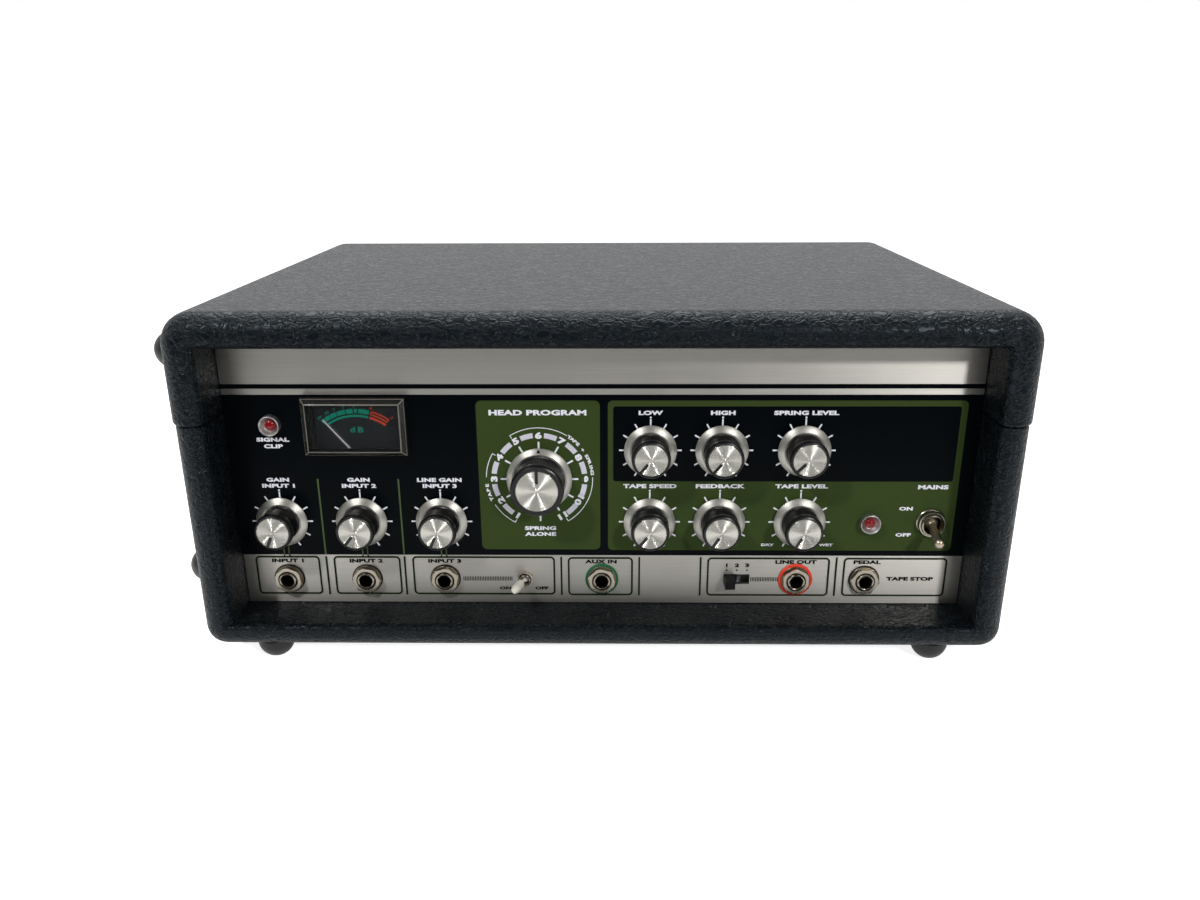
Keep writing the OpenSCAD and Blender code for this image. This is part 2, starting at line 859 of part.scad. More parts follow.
// A chrome cup with the lens at its bottom, and a barrel through the panel
module lamp_bezels() {
    color(bright) for (k = lamps) on_panel(k[0], k[1]) difference() {
        union() {
            translate([0, 0, -panel_t - 10]) cylinder(h = panel_t + 10, r = lamp_barrel_r);
            cylinder(h = bezel_h, r1 = bezel_r - 0.3, r2 = bezel_r);
        }
        translate([0, 0, -panel_t - 9]) cylinder(h = panel_t + 9 + bezel_h, r = lens_r + seat_gap);
        translate([0, 0, bezel_h - cup_depth])
            cylinder(h = cup_depth + seat_gap, r1 = lens_r + 0.3, r2 = bezel_r - 0.5);
    }
}

module lamp_lenses() {
    dome_z = bezel_h - cup_depth;
    color("red") for (k = lamps) on_panel(k[0], k[1]) {
        translate([0, 0, -panel_t - 8]) cylinder(h = panel_t + 8 + dome_z, r = lens_r);
        translate([0, 0, dome_z]) intersection() {
            sphere(lens_r);
            cylinder(h = lens_r, r = lens_r);
        }
    }
}

// ---------------------------------------------------------------- chassis and deck

chassis_t = 2;
chassis_w = inside_w - 14;
chassis_y0 = panel_y + panel_t;
chassis_y1 = inside_back - 6;
deck_z = seam_z - deck_drop;
deck_under = deck_z - deck_t;
deck_y0 = front_y + 59;

module chassis() {
    color(steel) {
        translate([mid_x - chassis_w / 2, chassis_y0, floor_z])
            cube([chassis_w, chassis_y1 - chassis_y0, chassis_t]);
        for (s = [-1, 1])
            translate([mid_x + s * (chassis_w - chassis_t) / 2, (chassis_y0 + chassis_y1) / 2, 0])
                block(chassis_t, chassis_y1 - chassis_y0, floor_z + chassis_t, deck_under);
    }
}

tape_y = front_y + tape_run;
capstan_y = tape_y + tape_t / 2 + part_gap + capstan_r;
roller_y = tape_y - tape_t / 2 - part_gap - roller_r - pinch_travel;
pivot_x = capstan_x + arm_l;
pivot_y = roller_y;
plunger_x = pivot_x - plunger_arm;
coil_r = 8;
coil_z = 11;
coil_y0 = tape_y + 4;
coil_l = 38;
coil_gap = 5.5;
plunger_r = 2.5;
bearing_r = 9;
belt_gap = 77;
motor_x = capstan_x - belt_gap;
motor_r = 22;

module on_deck(x, y) {
    translate([mid_x + x, y, deck_z]) children();
}

module transport_deck() {
    color(steel) difference() {
        translate([mid_x - chassis_w / 2, deck_y0, deck_under])
            cube([chassis_w, chassis_y1 - deck_y0, deck_t]);
        on_deck(capstan_x, capstan_y) translate([0, 0, -deck_t - cut])
            cylinder(h = deck_t + 2 * cut, r = bearing_r + seat_gap);
    }
}

// ---------------------------------------------------------------- tape

bin_wall = 2;
bin_x0 = -165;
bin_x1 = 142;
bin_y0 = coil_y0 + coil_l + coil_gap;
bin_d = chassis_y1 - bin_gap - bin_y0;
left_x = -104.5;
turn_r = guide_r + part_gap + tape_t / 2;
guide_base_r = guide_r + 2;
right_x = capstan_x + bearing_r + guide_base_r + 1 + turn_r;
fold_r = (right_x - left_x) / (tape_folds - 1) / 2;
fold_low = bin_y0 + 7;
fold_high = bin_y0 + bin_d - 9;

module tape_bin() {
    slot = 8;
    color("#2b2c2e") translate([mid_x, 0, deck_z]) difference() {
        translate([bin_x0, bin_y0, 0]) cube([bin_x1 - bin_x0, bin_d, bin_h]);
        translate([bin_x0 + bin_wall, bin_y0 + bin_wall, bin_wall])
            cube([bin_x1 - bin_x0 - 2 * bin_wall, bin_d - 2 * bin_wall, bin_h]);
        for (x = [left_x, right_x])
            translate([x - slot / 2, bin_y0 - cut, bin_wall]) cube([slot, bin_wall + 2 * cut, bin_h]);
    }
}

cover_t = 2;

module tape_bin_cover() {
    color("lightblue", 0.3) translate([mid_x + bin_x0, bin_y0, deck_z + bin_h])
        cube([bin_x1 - bin_x0, bin_d, cover_t]);
}

// Points of an arc round c from angle a0 to angle a1
function arc(c, r, a0, a1, n = 8) =
    [for (i = [0:n]) let (a = a0 + (a1 - a0) * i / n) c + r * [cos(a), sin(a)]];

// The tape's closed path: along the heads, back into the bin and through its folds
fold_arcs = [for (k = [0:tape_folds - 2])
    let (x = right_x - (2 * k + 1) * fold_r, up = k % 2 == 0)
    each up ? arc([x, fold_high - fold_r], fold_r, 0, 180)
        : arc([x, fold_low + fold_r], fold_r, 0, -180)];
tape_path = concat(
    arc([right_x - turn_r, tape_y + turn_r], turn_r, -90, 0),
    fold_arcs,
    arc([left_x + turn_r, tape_y + turn_r], turn_r, 180, 270));

// The path moved sideways by d at every point
function unit(v) = v / norm(v);
function shifted(path, d) = let (n = len(path))
    [for (i = [0:n - 1])
        let (t = unit(path[(i + 1) % n] - path[(i + n - 1) % n])) path[i] + d * [t[1], -t[0]]];

module tape_loop() {
    color("#4a2f22") translate([mid_x, 0, deck_z + tape_z - tape_w / 2]) linear_extrude(tape_w)
        difference() {
            polygon(shifted(tape_path, tape_t / 2));
            polygon(shifted(tape_path, -tape_t / 2));
        }
}

module tape_guides() {
    color(bright) for (x = [left_x + turn_r, right_x - turn_r])
        on_deck(x, tape_y + turn_r) {
            cylinder(h = tape_z + tape_w / 2 + 2, r = guide_r);
            cylinder(h = tape_z - tape_w / 2 - 1, r = guide_base_r);
        }
}

// ---------------------------------------------------------------- heads

head_w = 14;
head_d = 12;
head_h = 15;
block_t = 4;
head_step = 26;
head_x0 = -70;
head_count = 5;
head_y = tape_y + tape_t / 2 + part_gap;

module head_block() {
    color(bright) on_deck(head_x0 - head_w, head_y + 1)
        cube([(head_count - 1) * head_step + 2 * head_w, head_d + 8, block_t]);
}

// Five heads with a round nose towards the tape: one erases, one records, three play back
module heads() {
    nose_r = 10;
    color(steel) for (i = [0:head_count - 1])
        on_deck(head_x0 + i * head_step, head_y) translate([0, 0, block_t]) intersection() {
            block(head_w, 2 * (head_d + 1), 0, head_h);
            union() {
                translate([0, nose_r, 0]) cylinder(h = head_h, r = nose_r);
                translate([-head_w / 2, nose_r, 0]) cube([head_w, head_d - nose_r + 1, head_h]);
            }
        }
}

// ---------------------------------------------------------------- drive

board_t = 1.6;
board_z = floor_z + 18;
part_h = 14;
fly_t = 10;
drive_gap = 10.1;
fly_top = board_z + board_t + part_h + drive_gap + fly_t;
motor_gap = 3;
motor_shaft = 15;
motor_shaft_r = 2;
belt_t = 1.5;
belt_w = 5;
pulley_top = fly_top;

module capstan() {
    color(bright) on_deck(capstan_x, capstan_y) {
        translate([0, 0, fly_top - deck_z - fly_t - 2])
            cylinder(h = deck_z - fly_top + fly_t + 2 + tape_z + tape_w / 2 + 4, r = capstan_r);
        translate([0, 0, fly_top - deck_z - fly_t]) cylinder(h = fly_t, r = flywheel_r);
    }
}

module capstan_bearing() {
    color("#a98b4a") on_deck(capstan_x, capstan_y)
        tube(bearing_r, capstan_r + run_gap, fly_top - deck_z + part_gap, 5);
}

module motor() {
    motor_h = deck_under - fly_top - motor_gap;
    color(steel) on_deck(motor_x, capstan_y) translate([0, 0, -deck_t - motor_h]) difference() {
        cylinder(h = motor_h, r = motor_r);
        translate([0, 0, -cut]) cylinder(h = motor_shaft + 5, r = motor_shaft_r + run_gap);
    }
}

module motor_pulley() {
    color("#a98b4a") on_deck(motor_x, capstan_y) translate([0, 0, pulley_top - deck_z - fly_t]) {
        cylinder(h = fly_t, r = pulley_r);
        cylinder(h = fly_t + motor_gap + motor_shaft, r = motor_shaft_r);
    }
}

// A flat belt round the flywheel and the pulley
module drive_belt() {
    module loop(extra) {
        hull() {
            circle(flywheel_r + part_gap + extra);
            translate([-belt_gap, 0]) circle(pulley_r + part_gap + extra);
        }
    }
    color(rubber) on_deck(capstan_x, capstan_y)
        translate([0, 0, fly_top - deck_z - fly_t / 2 - belt_w / 2]) linear_extrude(belt_w)
            difference() {
                loop(belt_t);
                loop(0);
            }
}

arm_z = 2;
arm_t = 3;
arm_half = 5;
pin_r = 2.5;
link_r = 1;

// The arm turns on the solenoid frame's post and carries the pinch roller on its own pin
module pinch_arm() {
    color(bright) on_deck(pivot_x, pivot_y) translate([0, 0, arm_z]) {
        difference() {
            union() {
                translate([-arm_l, -arm_half, 0]) cube([arm_l, 2 * arm_half, arm_t]);
                for (x = [-arm_l, 0]) translate([x, 0, 0]) cylinder(h = arm_t, r = arm_half);
            }
            translate([0, 0, -cut]) cylinder(h = arm_t + 2 * cut, r = pin_r + run_gap);
            translate([-plunger_arm, 0, -cut]) cylinder(h = arm_t + 2 * cut, r = link_r + part_gap);
        }
        translate([-arm_l, 0, arm_t]) cylinder(h = tape_z + tape_w / 2 - arm_z - arm_t + 3, r = pin_r);
    }
}

module pinch_roller() {
    roller_z = tape_z - tape_w / 2 - 1;
    color(rubber) on_deck(pivot_x - arm_l, pivot_y)
        tube(roller_r, pin_r + run_gap, roller_z, roller_z + tape_w + 2);
}

// The solenoid with its plunger, bent link and pin drawn back to the arm, and the pivot post
module solenoid() {
    color("#6b4a2a") {
        on_deck(plunger_x, coil_y0) {
            translate([0, 0, coil_z]) rotate([-90, 0, 0]) difference() {
                cylinder(h = coil_l, r = coil_r);
                translate([0, 0, -cut]) cylinder(h = coil_l - 8, r = plunger_r + run_gap);
            }
            translate([-coil_r, 0, 0]) cube([2 * coil_r, 3, coil_z - plunger_r - 1]);
            translate([-coil_r, coil_l - 3, 0]) cube([2 * coil_r, 3, coil_z]);
        }
        on_deck(pivot_x, pivot_y) {
            cylinder(h = arm_z + arm_t + 3, r = pin_r);
            cylinder(h = arm_z - part_gap, r = pin_r + 2);
        }
    }
}

// The plunger with its bent link, whose pin drops into the arm's oversize hole
module plunger() {
    link_t = 3;
    link_low = arm_z + arm_t + part_gap;
    color(bright) on_deck(plunger_x, pivot_y) {
        translate([0, -link_t, coil_z]) rotate([-90, 0, 0])
            cylinder(h = coil_y0 - pivot_y + link_t + 20, r = plunger_r);
        translate([-plunger_r, -link_t, link_low])
            cube([2 * plunger_r, 2 * link_t, coil_z - link_low]);
        translate([0, 0, arm_z]) cylinder(h = arm_t + 1, r = link_r);
    }
}

// ---------------------------------------------------------------- electronics

post_inset = 8;
part_r = 5;
main_inset = 23.5;
supply_inset = 13.5;
supply_w = 75;
supply_d = 85;
board_gap = 30;
board_front = chassis_y0 + 45;
tank_d = 62;
tank_h = 30;
tank_gap = 12;
tank_back = 13;
core_w = 64;
core_d = 54;
core_h = 56;
core_inset = 16.5;
core_back = 35;

module pcb(x0, y0, w, d) {
    translate([mid_x + x0, y0, board_z]) cube([w, d, board_t]);
    for (x = [post_inset, w - post_inset], y = [post_inset, d - post_inset])
        translate([mid_x + x0 + x, y0 + y, floor_z + chassis_t])
            cylinder(h = board_z - floor_z - chassis_t, r = 3);
}

// Main board and power board on posts, mains transformer and the spring tank
module electronics() {
    half = chassis_w / 2;
    main_x = -half + main_inset;
    supply_x = half - supply_inset - supply_w;
    main_w = supply_x - board_gap - main_x;
    tank_y = chassis_y1 - tank_back - tank_d;
    main_d = tank_y - tank_gap - board_front;
    part_dx = (main_w - 2 * board_gap) / 5;
    part_dy = (main_d - 2 * board_gap) / 2;
    color("#4c6b3a") {
        pcb(main_x, board_front, main_w, main_d);
        pcb(supply_x, board_front, supply_w, supply_d);
    }
    color(steel) {
        translate([mid_x + main_x, tank_y, floor_z + chassis_t]) cube([main_w, tank_d, tank_h]);
        translate([mid_x + half - core_inset - core_w, chassis_y1 - core_back - core_d, floor_z + chassis_t])
            cube([core_w, core_d, core_h]);
    }
    color("#30302c") for (i = [0:5], j = [0:2])
        translate([mid_x + main_x + board_gap + i * part_dx, board_front + board_gap + j * part_dy,
            board_z + board_t]) cylinder(h = part_h, r = part_r);
}

// ---------------------------------------------------------------- one name at a time

base_case();
lid();
lid_catches();
base_feet();
lid_feet();
handle_strap();
handle_brackets();
rear_panel();
cord_gland();
fuse_holder();
front_panel();
chassis();
transport_deck();
input_1_knob();
input_2_knob();
input_3_knob();
bass_knob();
treble_knob();
reverb_knob();
rate_knob();
intensity_knob();
echo_knob();
selector_knob();
pots();
selector_switch();
jack_sockets();
jack_nuts();
jack_washers();
jack_rings_black();
jack_ring_green();
jack_ring_red();
power_switch();
power_nut();
power_lever();
mini_switch();
mini_lever();
slide_switch();
slide_button();
meter_case();
meter_cover();
meter_dial();
meter_needle();
lamp_bezels();
lamp_lenses();
tape_bin();
tape_bin_cover();
tape_loop();
tape_guides();
head_block();
heads();
capstan();
capstan_bearing();
motor();
motor_pulley();
drive_belt();
pinch_arm();
pinch_roller();
solenoid();
plunger();
electronics();
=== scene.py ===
import json
import math

import bpy
from mathutils import Matrix, Vector


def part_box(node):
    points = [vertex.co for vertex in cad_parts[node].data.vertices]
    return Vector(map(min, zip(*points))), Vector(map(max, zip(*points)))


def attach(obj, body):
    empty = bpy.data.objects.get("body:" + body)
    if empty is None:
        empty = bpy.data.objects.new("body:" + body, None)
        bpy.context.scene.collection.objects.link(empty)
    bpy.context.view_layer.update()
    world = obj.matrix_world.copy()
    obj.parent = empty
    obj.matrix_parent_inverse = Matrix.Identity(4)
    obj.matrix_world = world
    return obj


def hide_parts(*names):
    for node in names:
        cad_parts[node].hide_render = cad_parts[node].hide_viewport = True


# A table-top tape echo unit. What can be seen from outside is modelled here in detail, round the
# frame's solids, and the inside keeps those solids with finishes of its own.

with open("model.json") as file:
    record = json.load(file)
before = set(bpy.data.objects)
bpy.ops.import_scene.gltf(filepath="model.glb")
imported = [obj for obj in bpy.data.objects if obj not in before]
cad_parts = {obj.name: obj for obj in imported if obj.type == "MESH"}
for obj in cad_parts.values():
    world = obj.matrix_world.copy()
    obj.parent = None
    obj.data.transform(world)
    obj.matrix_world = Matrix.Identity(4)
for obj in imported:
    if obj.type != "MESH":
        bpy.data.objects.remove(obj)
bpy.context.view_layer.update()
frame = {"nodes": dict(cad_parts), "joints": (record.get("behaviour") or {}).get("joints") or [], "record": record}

# Lengths are in millimetres, and MM turns them into metres where a place is built from them.
MM = 0.001
TOUCHING = 0.001 * MM
TURN = 2 * math.pi

PANEL_LOW, PANEL_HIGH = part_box("front_panel")
MID_X = (PANEL_LOW.x + PANEL_HIGH.x) / 2
FACE_Y = PANEL_LOW.y
OUT = Vector((0, -1, 0))
BACK = Vector((0, 1, 0))
UP = Vector((0, 0, 1))
RIGHT = Vector((1, 0, 0))


def spot(x, z, out=0):
    """A place on the panel's face: x from its middle, z above the ground and out of it, in mm."""
    return Vector((MID_X + x * MM, FACE_Y - out * MM, z * MM))


def hub(node):
    """The middle of a CAD node on the panel's face, as x from the panel's middle and z, in mm."""
    low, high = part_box(node)
    return ((low.x + high.x) / 2 - MID_X) / MM, (low.z + high.z) / 2 / MM


def front_of(node):
    """How far a CAD node stands out of the panel's face, in mm."""
    return (FACE_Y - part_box(node)[0].y) / MM


def panel_move(start, end):
    """The move from one place on the panel to another, each an x and z in mm."""
    return Vector((end[0] - start[0], 0, end[1] - start[1])) * MM


def clockwise(x, z, radius, degrees):
    """The place at a radius and an angle from the top round x and z, in mm."""
    angle = math.radians(degrees)
    return x + radius * math.sin(angle), z + radius * math.cos(angle)


# ---------------------------------------------------------------- camera and lights

CAMERA_AT = Vector((0.37, -610.96, 264.45)) * MM
PITCH, YAW, ROLL = (math.radians(a) for a in (20.606, -1.029, 0.270))
LENS = 29.957
SHIFT_UP = 0.0441
PANEL_MIDDLE = Vector((MID_X, FACE_Y, 0.1))
# Strength of the world: what lights the object, and what shiny pieces see in front of it
FILL_LIGHT = 0.16
DIM_FRONT = 0.12


def add_camera():
    flat = math.cos(PITCH)
    ahead = Vector((math.sin(YAW) * flat, math.cos(YAW) * flat, -math.sin(PITCH)))
    level = Vector((math.cos(YAW), -math.sin(YAW), 0))
    down = ahead.cross(level)
    across = level * math.cos(ROLL) + down * math.sin(ROLL)
    down = down * math.cos(ROLL) - level * math.sin(ROLL)
    turned = Matrix((across, -down, -ahead)).transposed().to_4x4()
    bpy.ops.object.camera_add()
    camera = bpy.context.object
    camera.matrix_world = Matrix.Translation(CAMERA_AT) @ turned
    camera.data.lens = LENS
    camera.data.sensor_width = 36
    camera.data.shift_y = SHIFT_UP
    camera.data.clip_start = 0.01
    bpy.context.scene.camera = camera


def add_lamp(name, way, far, width, height, power):
    """A rectangular lamp, sized in metres, that looks at the panel's middle from a direction."""
    place = PANEL_MIDDLE + Vector(way).normalized() * far
    bpy.ops.object.light_add(type="AREA", location=place)
    lamp = bpy.context.object
    lamp.name = name
    lamp.data.shape = "RECTANGLE"
    lamp.data.size = width
    lamp.data.size_y = height
    lamp.data.energy = power
    lamp.rotation_euler = (PANEL_MIDDLE - place).to_track_quat("-Z", "Y").to_euler()


def add_world():
    """White behind the object, and dimmer in front of it, as in a studio with a white backdrop."""
    world = bpy.data.worlds.new("studio")
    bpy.context.scene.world = world
    world.use_nodes = True
    world.node_tree.nodes.clear()
    where = add_node(world, "TexCoord")
    split = add_node(world, "SeparateXYZ", {"Vector": where.outputs["Generated"]})
    depth = add_node(world, "MapRange", {
        "Value": split.outputs["Y"], "From Min": -0.7, "From Max": 0.3, "To Min": DIM_FRONT})
    camera, shiny = ray_kinds(world)
    room = add_node(world, "Mix", {
        "Factor": shiny, 2: FILL_LIGHT, 3: depth.outputs[0]}, data_type="FLOAT")
    level = add_node(world, "Mix", {
        "Factor": camera, 2: room.outputs[0], 3: 1.0}, data_type="FLOAT")
    light = add_node(world, "Background", {
        "Color": (1, 1, 1, 1), "Strength": level.outputs[0]})
    add_node(world, "OutputWorld", {"Surface": light.outputs[0]})


# ---------------------------------------------------------------- materials

def paint(code):
    """An sRGB hex colour as the linear colour that a shader takes."""
    parts = [int(code[i:i + 2], 16) / 255 for i in (1, 3, 5)]
    return [c / 12.92 if c <= 0.04045 else ((c + 0.055) / 1.055) ** 2.4 for c in parts] + [1]


def add_node(owner, kind, inputs=None, **settings):
    """Adds a shader node with its settings, and fills its inputs with values or links."""
    tree = owner.node_tree
    new = tree.nodes.new("ShaderNode" + kind)
    for key, value in settings.items():
        setattr(new, key, value)
    for key, value in (inputs or {}).items():
        if isinstance(value, bpy.types.NodeSocket):
            tree.links.new(value, new.inputs[key])
        else:
            new.inputs[key].default_value = value
    return new


def ray_kinds(owner):
    """Whether a ray is the camera's own, and whether it is mirrored or passes through glass."""
    ray = add_node(owner, "LightPath").outputs
    shiny = add_node(owner, "Math", {
        0: ray["Is Glossy Ray"], 1: ray["Is Transmission Ray"]}, operation="MAXIMUM")
    return ray["Is Camera Ray"], shiny.outputs[0]


def feed(made, shader, socket, value):
    made.node_tree.links.new(value, shader.inputs[socket])


def scale_for(width):
    """The scale of a pattern whose grain, lines or cells are this wide, in mm."""
    return 1 / (width * MM)


def surface(name, colour, roughness, **sockets):
    """A material with its shader: returns it, the shader and its Object coordinates."""
    made = bpy.data.materials.new(name)
    made.use_nodes = True
    made.node_tree.nodes.clear()
    inputs = {"Base Color": paint(colour), "Roughness": roughness}
    inputs.update({key.replace("_", " "): value for key, value in sockets.items()})
    shader = add_node(made, "BsdfPrincipled", inputs)
    add_node(made, "OutputMaterial", {"Surface": shader.outputs[0]})
    where = add_node(made, "TexCoord").outputs["Object"]
    return made, shader, where


def vary(made, shader, amount, colours, roughness):
    """Lets a pattern from 0 to 1 move the colour between two and the roughness between two."""
    tint = add_node(made, "Mix", {
        "Factor": amount, 6: paint(colours[0]), 7: paint(colours[1])}, data_type="RGBA")
    gloss = add_node(made, "MapRange", {
        "Value": amount, "To Min": roughness[0], "To Max": roughness[1]})
    feed(made, shader, "Base Color", tint.outputs[2])
    feed(made, shader, "Roughness", gloss.outputs[0])


def raise_grain(made, shader, height, depth):
    """Gives the surface a relief of this depth in mm."""
    relief = add_node(made, "Bump", {"Height": height, "Distance": depth * MM})
    feed(made, shader, "Normal", relief.outputs[0])


def speckled(name, colours, roughness, grain, depth, **sockets):
    """A surface with one fine irregular grain, of a size in mm and a depth in mm."""
    made, shader, where = surface(name, colours[0], roughness[0], **sockets)
    noise = add_node(made, "TexNoise", {
        "Vector": where, "Scale": scale_for(grain), "Detail": 4.0, "Roughness": 0.6})
    vary(made, shader, noise.outputs["Fac"], colours, roughness)
    raise_grain(made, shader, noise.outputs["Fac"], depth)
    return made


def vinyl_leathercloth():
    """PVC-coated cloth embossed with a leather grain: smooth pads, 3 to 6 mm across, with narrow
    winding creases between them, blue-black, with a satin skin that glints beside each crease.
    The creases are painted darker than the pads, as painted shade."""
    made, shader, where = surface(
        "vinyl_leathercloth", "#0c141a", 0.4, Specular_IOR_Level=0.25, Specular_Tint=paint("#d8e6f0"))
    warp = add_node(made, "TexNoise", {"Vector": where, "Scale": scale_for(7.69), "Detail": 2.0})
    off = add_node(made, "VectorMath", {
        0: warp.outputs["Color"], 1: (0.5, 0.5, 0.5)}, operation="SUBTRACT")
    push = add_node(made, "VectorMath", {0: off.outputs[0], "Scale": 7 * MM}, operation="SCALE")
    moved = add_node(made, "VectorMath", {0: where, 1: push.outputs[0]}, operation="ADD")
    laid = add_node(made, "Mapping", {
        "Vector": moved.outputs[0], "Scale": [scale_for(width) for width in (6.67, 4.08, 4.08)]})
    cells = add_node(made, "TexVoronoi", {
        "Vector": laid.outputs[0], "Scale": 1.0}, feature="DISTANCE_TO_EDGE")
    crease = add_node(made, "MapRange", {
        "Value": cells.outputs["Distance"], "From Max": 0.13}, interpolation_type="SMOOTHSTEP")
    fold = add_node(made, "TexNoise", {
        "Vector": laid.outputs[0], "Scale": 0.9, "Detail": 1.0, "Roughness": 0.4, "Distortion": 1.4})
    side = add_node(made, "Math", {0: fold.outputs["Fac"], 1: 0.5}, operation="SUBTRACT")
    line = add_node(made, "Math", {0: side.outputs[0]}, operation="ABSOLUTE")
    hill = add_node(made, "MapRange", {"Value": line.outputs[0], "From Max": 0.07})
    pads = add_node(made, "Math", {0: crease.outputs[0], 1: hill.outputs[0]}, operation="MULTIPLY")
    pores = add_node(made, "TexNoise", {"Vector": where, "Scale": scale_for(0.556), "Detail": 2.0})
    height = add_node(made, "Math", {
        0: pores.outputs["Fac"], 1: 0.06, 2: pads.outputs[0]}, operation="MULTIPLY_ADD")
    # The creases are painted a darker blue-black than the pads: painted shade in the creases.
    vary(made, shader, pads.outputs[0], ("#020507", "#080e13"), (0.4, 0.33))
    raise_grain(made, shader, height.outputs[0], 0.45)
    return made


def brushed_aluminium():
    """Anodised aluminium sheet brushed along its length: fine lines, drawn 0.4 mm apart to show,
    that smear every reflection up and down."""
    made, shader, where = surface(
        "brushed_aluminium", "#c2bfb8", 0.42, Metallic=1.0, Anisotropic=0.8)
    laid = add_node(made, "Mapping", {
        "Vector": where, "Scale": [scale_for(width) for width in (71.4, 0.3846, 0.3846)]})
    lines = add_node(made, "TexNoise", {
        "Vector": laid.outputs[0], "Scale": 1.0, "Detail": 3.0, "Roughness": 0.7})
    vary(made, shader, lines.outputs["Fac"], ("#b4b1aa", "#d0cdc6"), (0.38, 0.48))
    raise_grain(made, shader, lines.outputs["Fac"], 0.012)
    upright = add_node(made, "CombineXYZ", {"Z": 1.0})
    feed(made, shader, "Tangent", upright.outputs[0])
    return made


def spun_aluminium():
    """Aluminium faced on a lathe. Its rings are too fine to show: each point leans in or out by
    chance, which draws every lamp out into a bright line from the middle to the edge."""
    made, shader, where = surface("spun_aluminium", "#c0beb6", 0.2, Metallic=1.0)
    around = add_node(made, "Tangent", direction_type="RADIAL", axis="Y")
    facing = add_node(made, "NewGeometry")
    outward = add_node(made, "VectorMath", {
        0: around.outputs[0], 1: facing.outputs["Normal"]}, operation="CROSS_PRODUCT")
    fine = add_node(made, "VectorMath", {0: where, "Scale": scale_for(0.05)}, operation="SCALE")
    chance = add_node(made, "TexWhiteNoise", {"Vector": fine.outputs[0]}).outputs["Value"]
    slope = add_node(made, "MapRange", {"Value": chance, "To Min": -0.8, "To Max": 0.8})
    tilt = add_node(made, "VectorMath", {
        0: outward.outputs[0], "Scale": slope.outputs[0]}, operation="SCALE")
    leaning = add_node(made, "VectorMath", {
        0: facing.outputs["Normal"], 1: tilt.outputs[0]}, operation="ADD")
    level = add_node(made, "VectorMath", {0: leaning.outputs[0]}, operation="NORMALIZE")
    feed(made, shader, "Normal", level.outputs[0])
    vary(made, shader, chance, ("#bbb9b1", "#c5c3bb"), (0.22, 0.26))
    return made


def turned_aluminium():
    """The knobs' skirts: aluminium turned on a lathe and worn satin, with soft bright zones."""
    made, shader, where = surface(
        "turned_aluminium", "#c4c2ba", 0.46, Metallic=1.0, Anisotropic=0.6, Anisotropic_Rotation=0.25)
    noise = add_node(made, "TexNoise", {"Vector": where, "Scale": scale_for(3.85), "Detail": 4.0})
    vary(made, shader, noise.outputs["Fac"], ("#b2b0a8", "#d2d0c8"), (0.40, 0.52))
    raise_grain(made, shader, noise.outputs["Fac"], 0.03)
    around = add_node(made, "Tangent", direction_type="RADIAL", axis="Y")
    feed(made, shader, "Tangent", around.outputs[0])
    return made


def clear_acrylic():
    """Cast acrylic: clear and glossy, with a few hairline scratches. Most light passes straight
    through, so that what lies behind it is lit."""
    made, shader, where = surface(
        "clear_acrylic", "#8c9090", 0.04, Transmission_Weight=0.9, IOR=1.2, Alpha=0.14)
    noise = add_node(made, "TexNoise", {"Vector": where, "Scale": scale_for(6.25), "Detail": 5.0})
    wear = add_node(made, "MapRange", {
        "Value": noise.outputs["Fac"], "To Min": 0.02, "To Max": 0.06})
    feed(made, shader, "Roughness", wear.outputs[0])
    raise_grain(made, shader, noise.outputs["Fac"], 0.003)
    return made


def acrylic_flank(name, colours, see_through):
    """The sloped side or the rounded edge of an acrylic moulding, painted grey: a painted reflection of how the
    clear flank looks from outside.
    """
    made, shader, where = surface(name, colours[0], 0.2, Alpha=see_through)
    noise = add_node(made, "TexNoise", {"Vector": where, "Scale": scale_for(3.33), "Detail": 3.0})
    vary(made, shader, noise.outputs["Fac"], colours, (0.12, 0.3))
    return made


def red_lens_plastic():
    """Polystyrene tinted red: a glossy dome that light passes into, faintly lit from inside."""
    made, shader, where = surface(
        "red_lens_plastic", "#840410", 0.08, Transmission_Weight=0.2, IOR=1.59, Specular_IOR_Level=0.3,
        Emission_Color=paint("#a00410"), Emission_Strength=0.06)
    noise = add_node(made, "TexNoise", {"Vector": where, "Scale": scale_for(2.5)})
    vary(made, shader, noise.outputs["Fac"], ("#74020c", "#920612"), (0.06, 0.12))
    return made


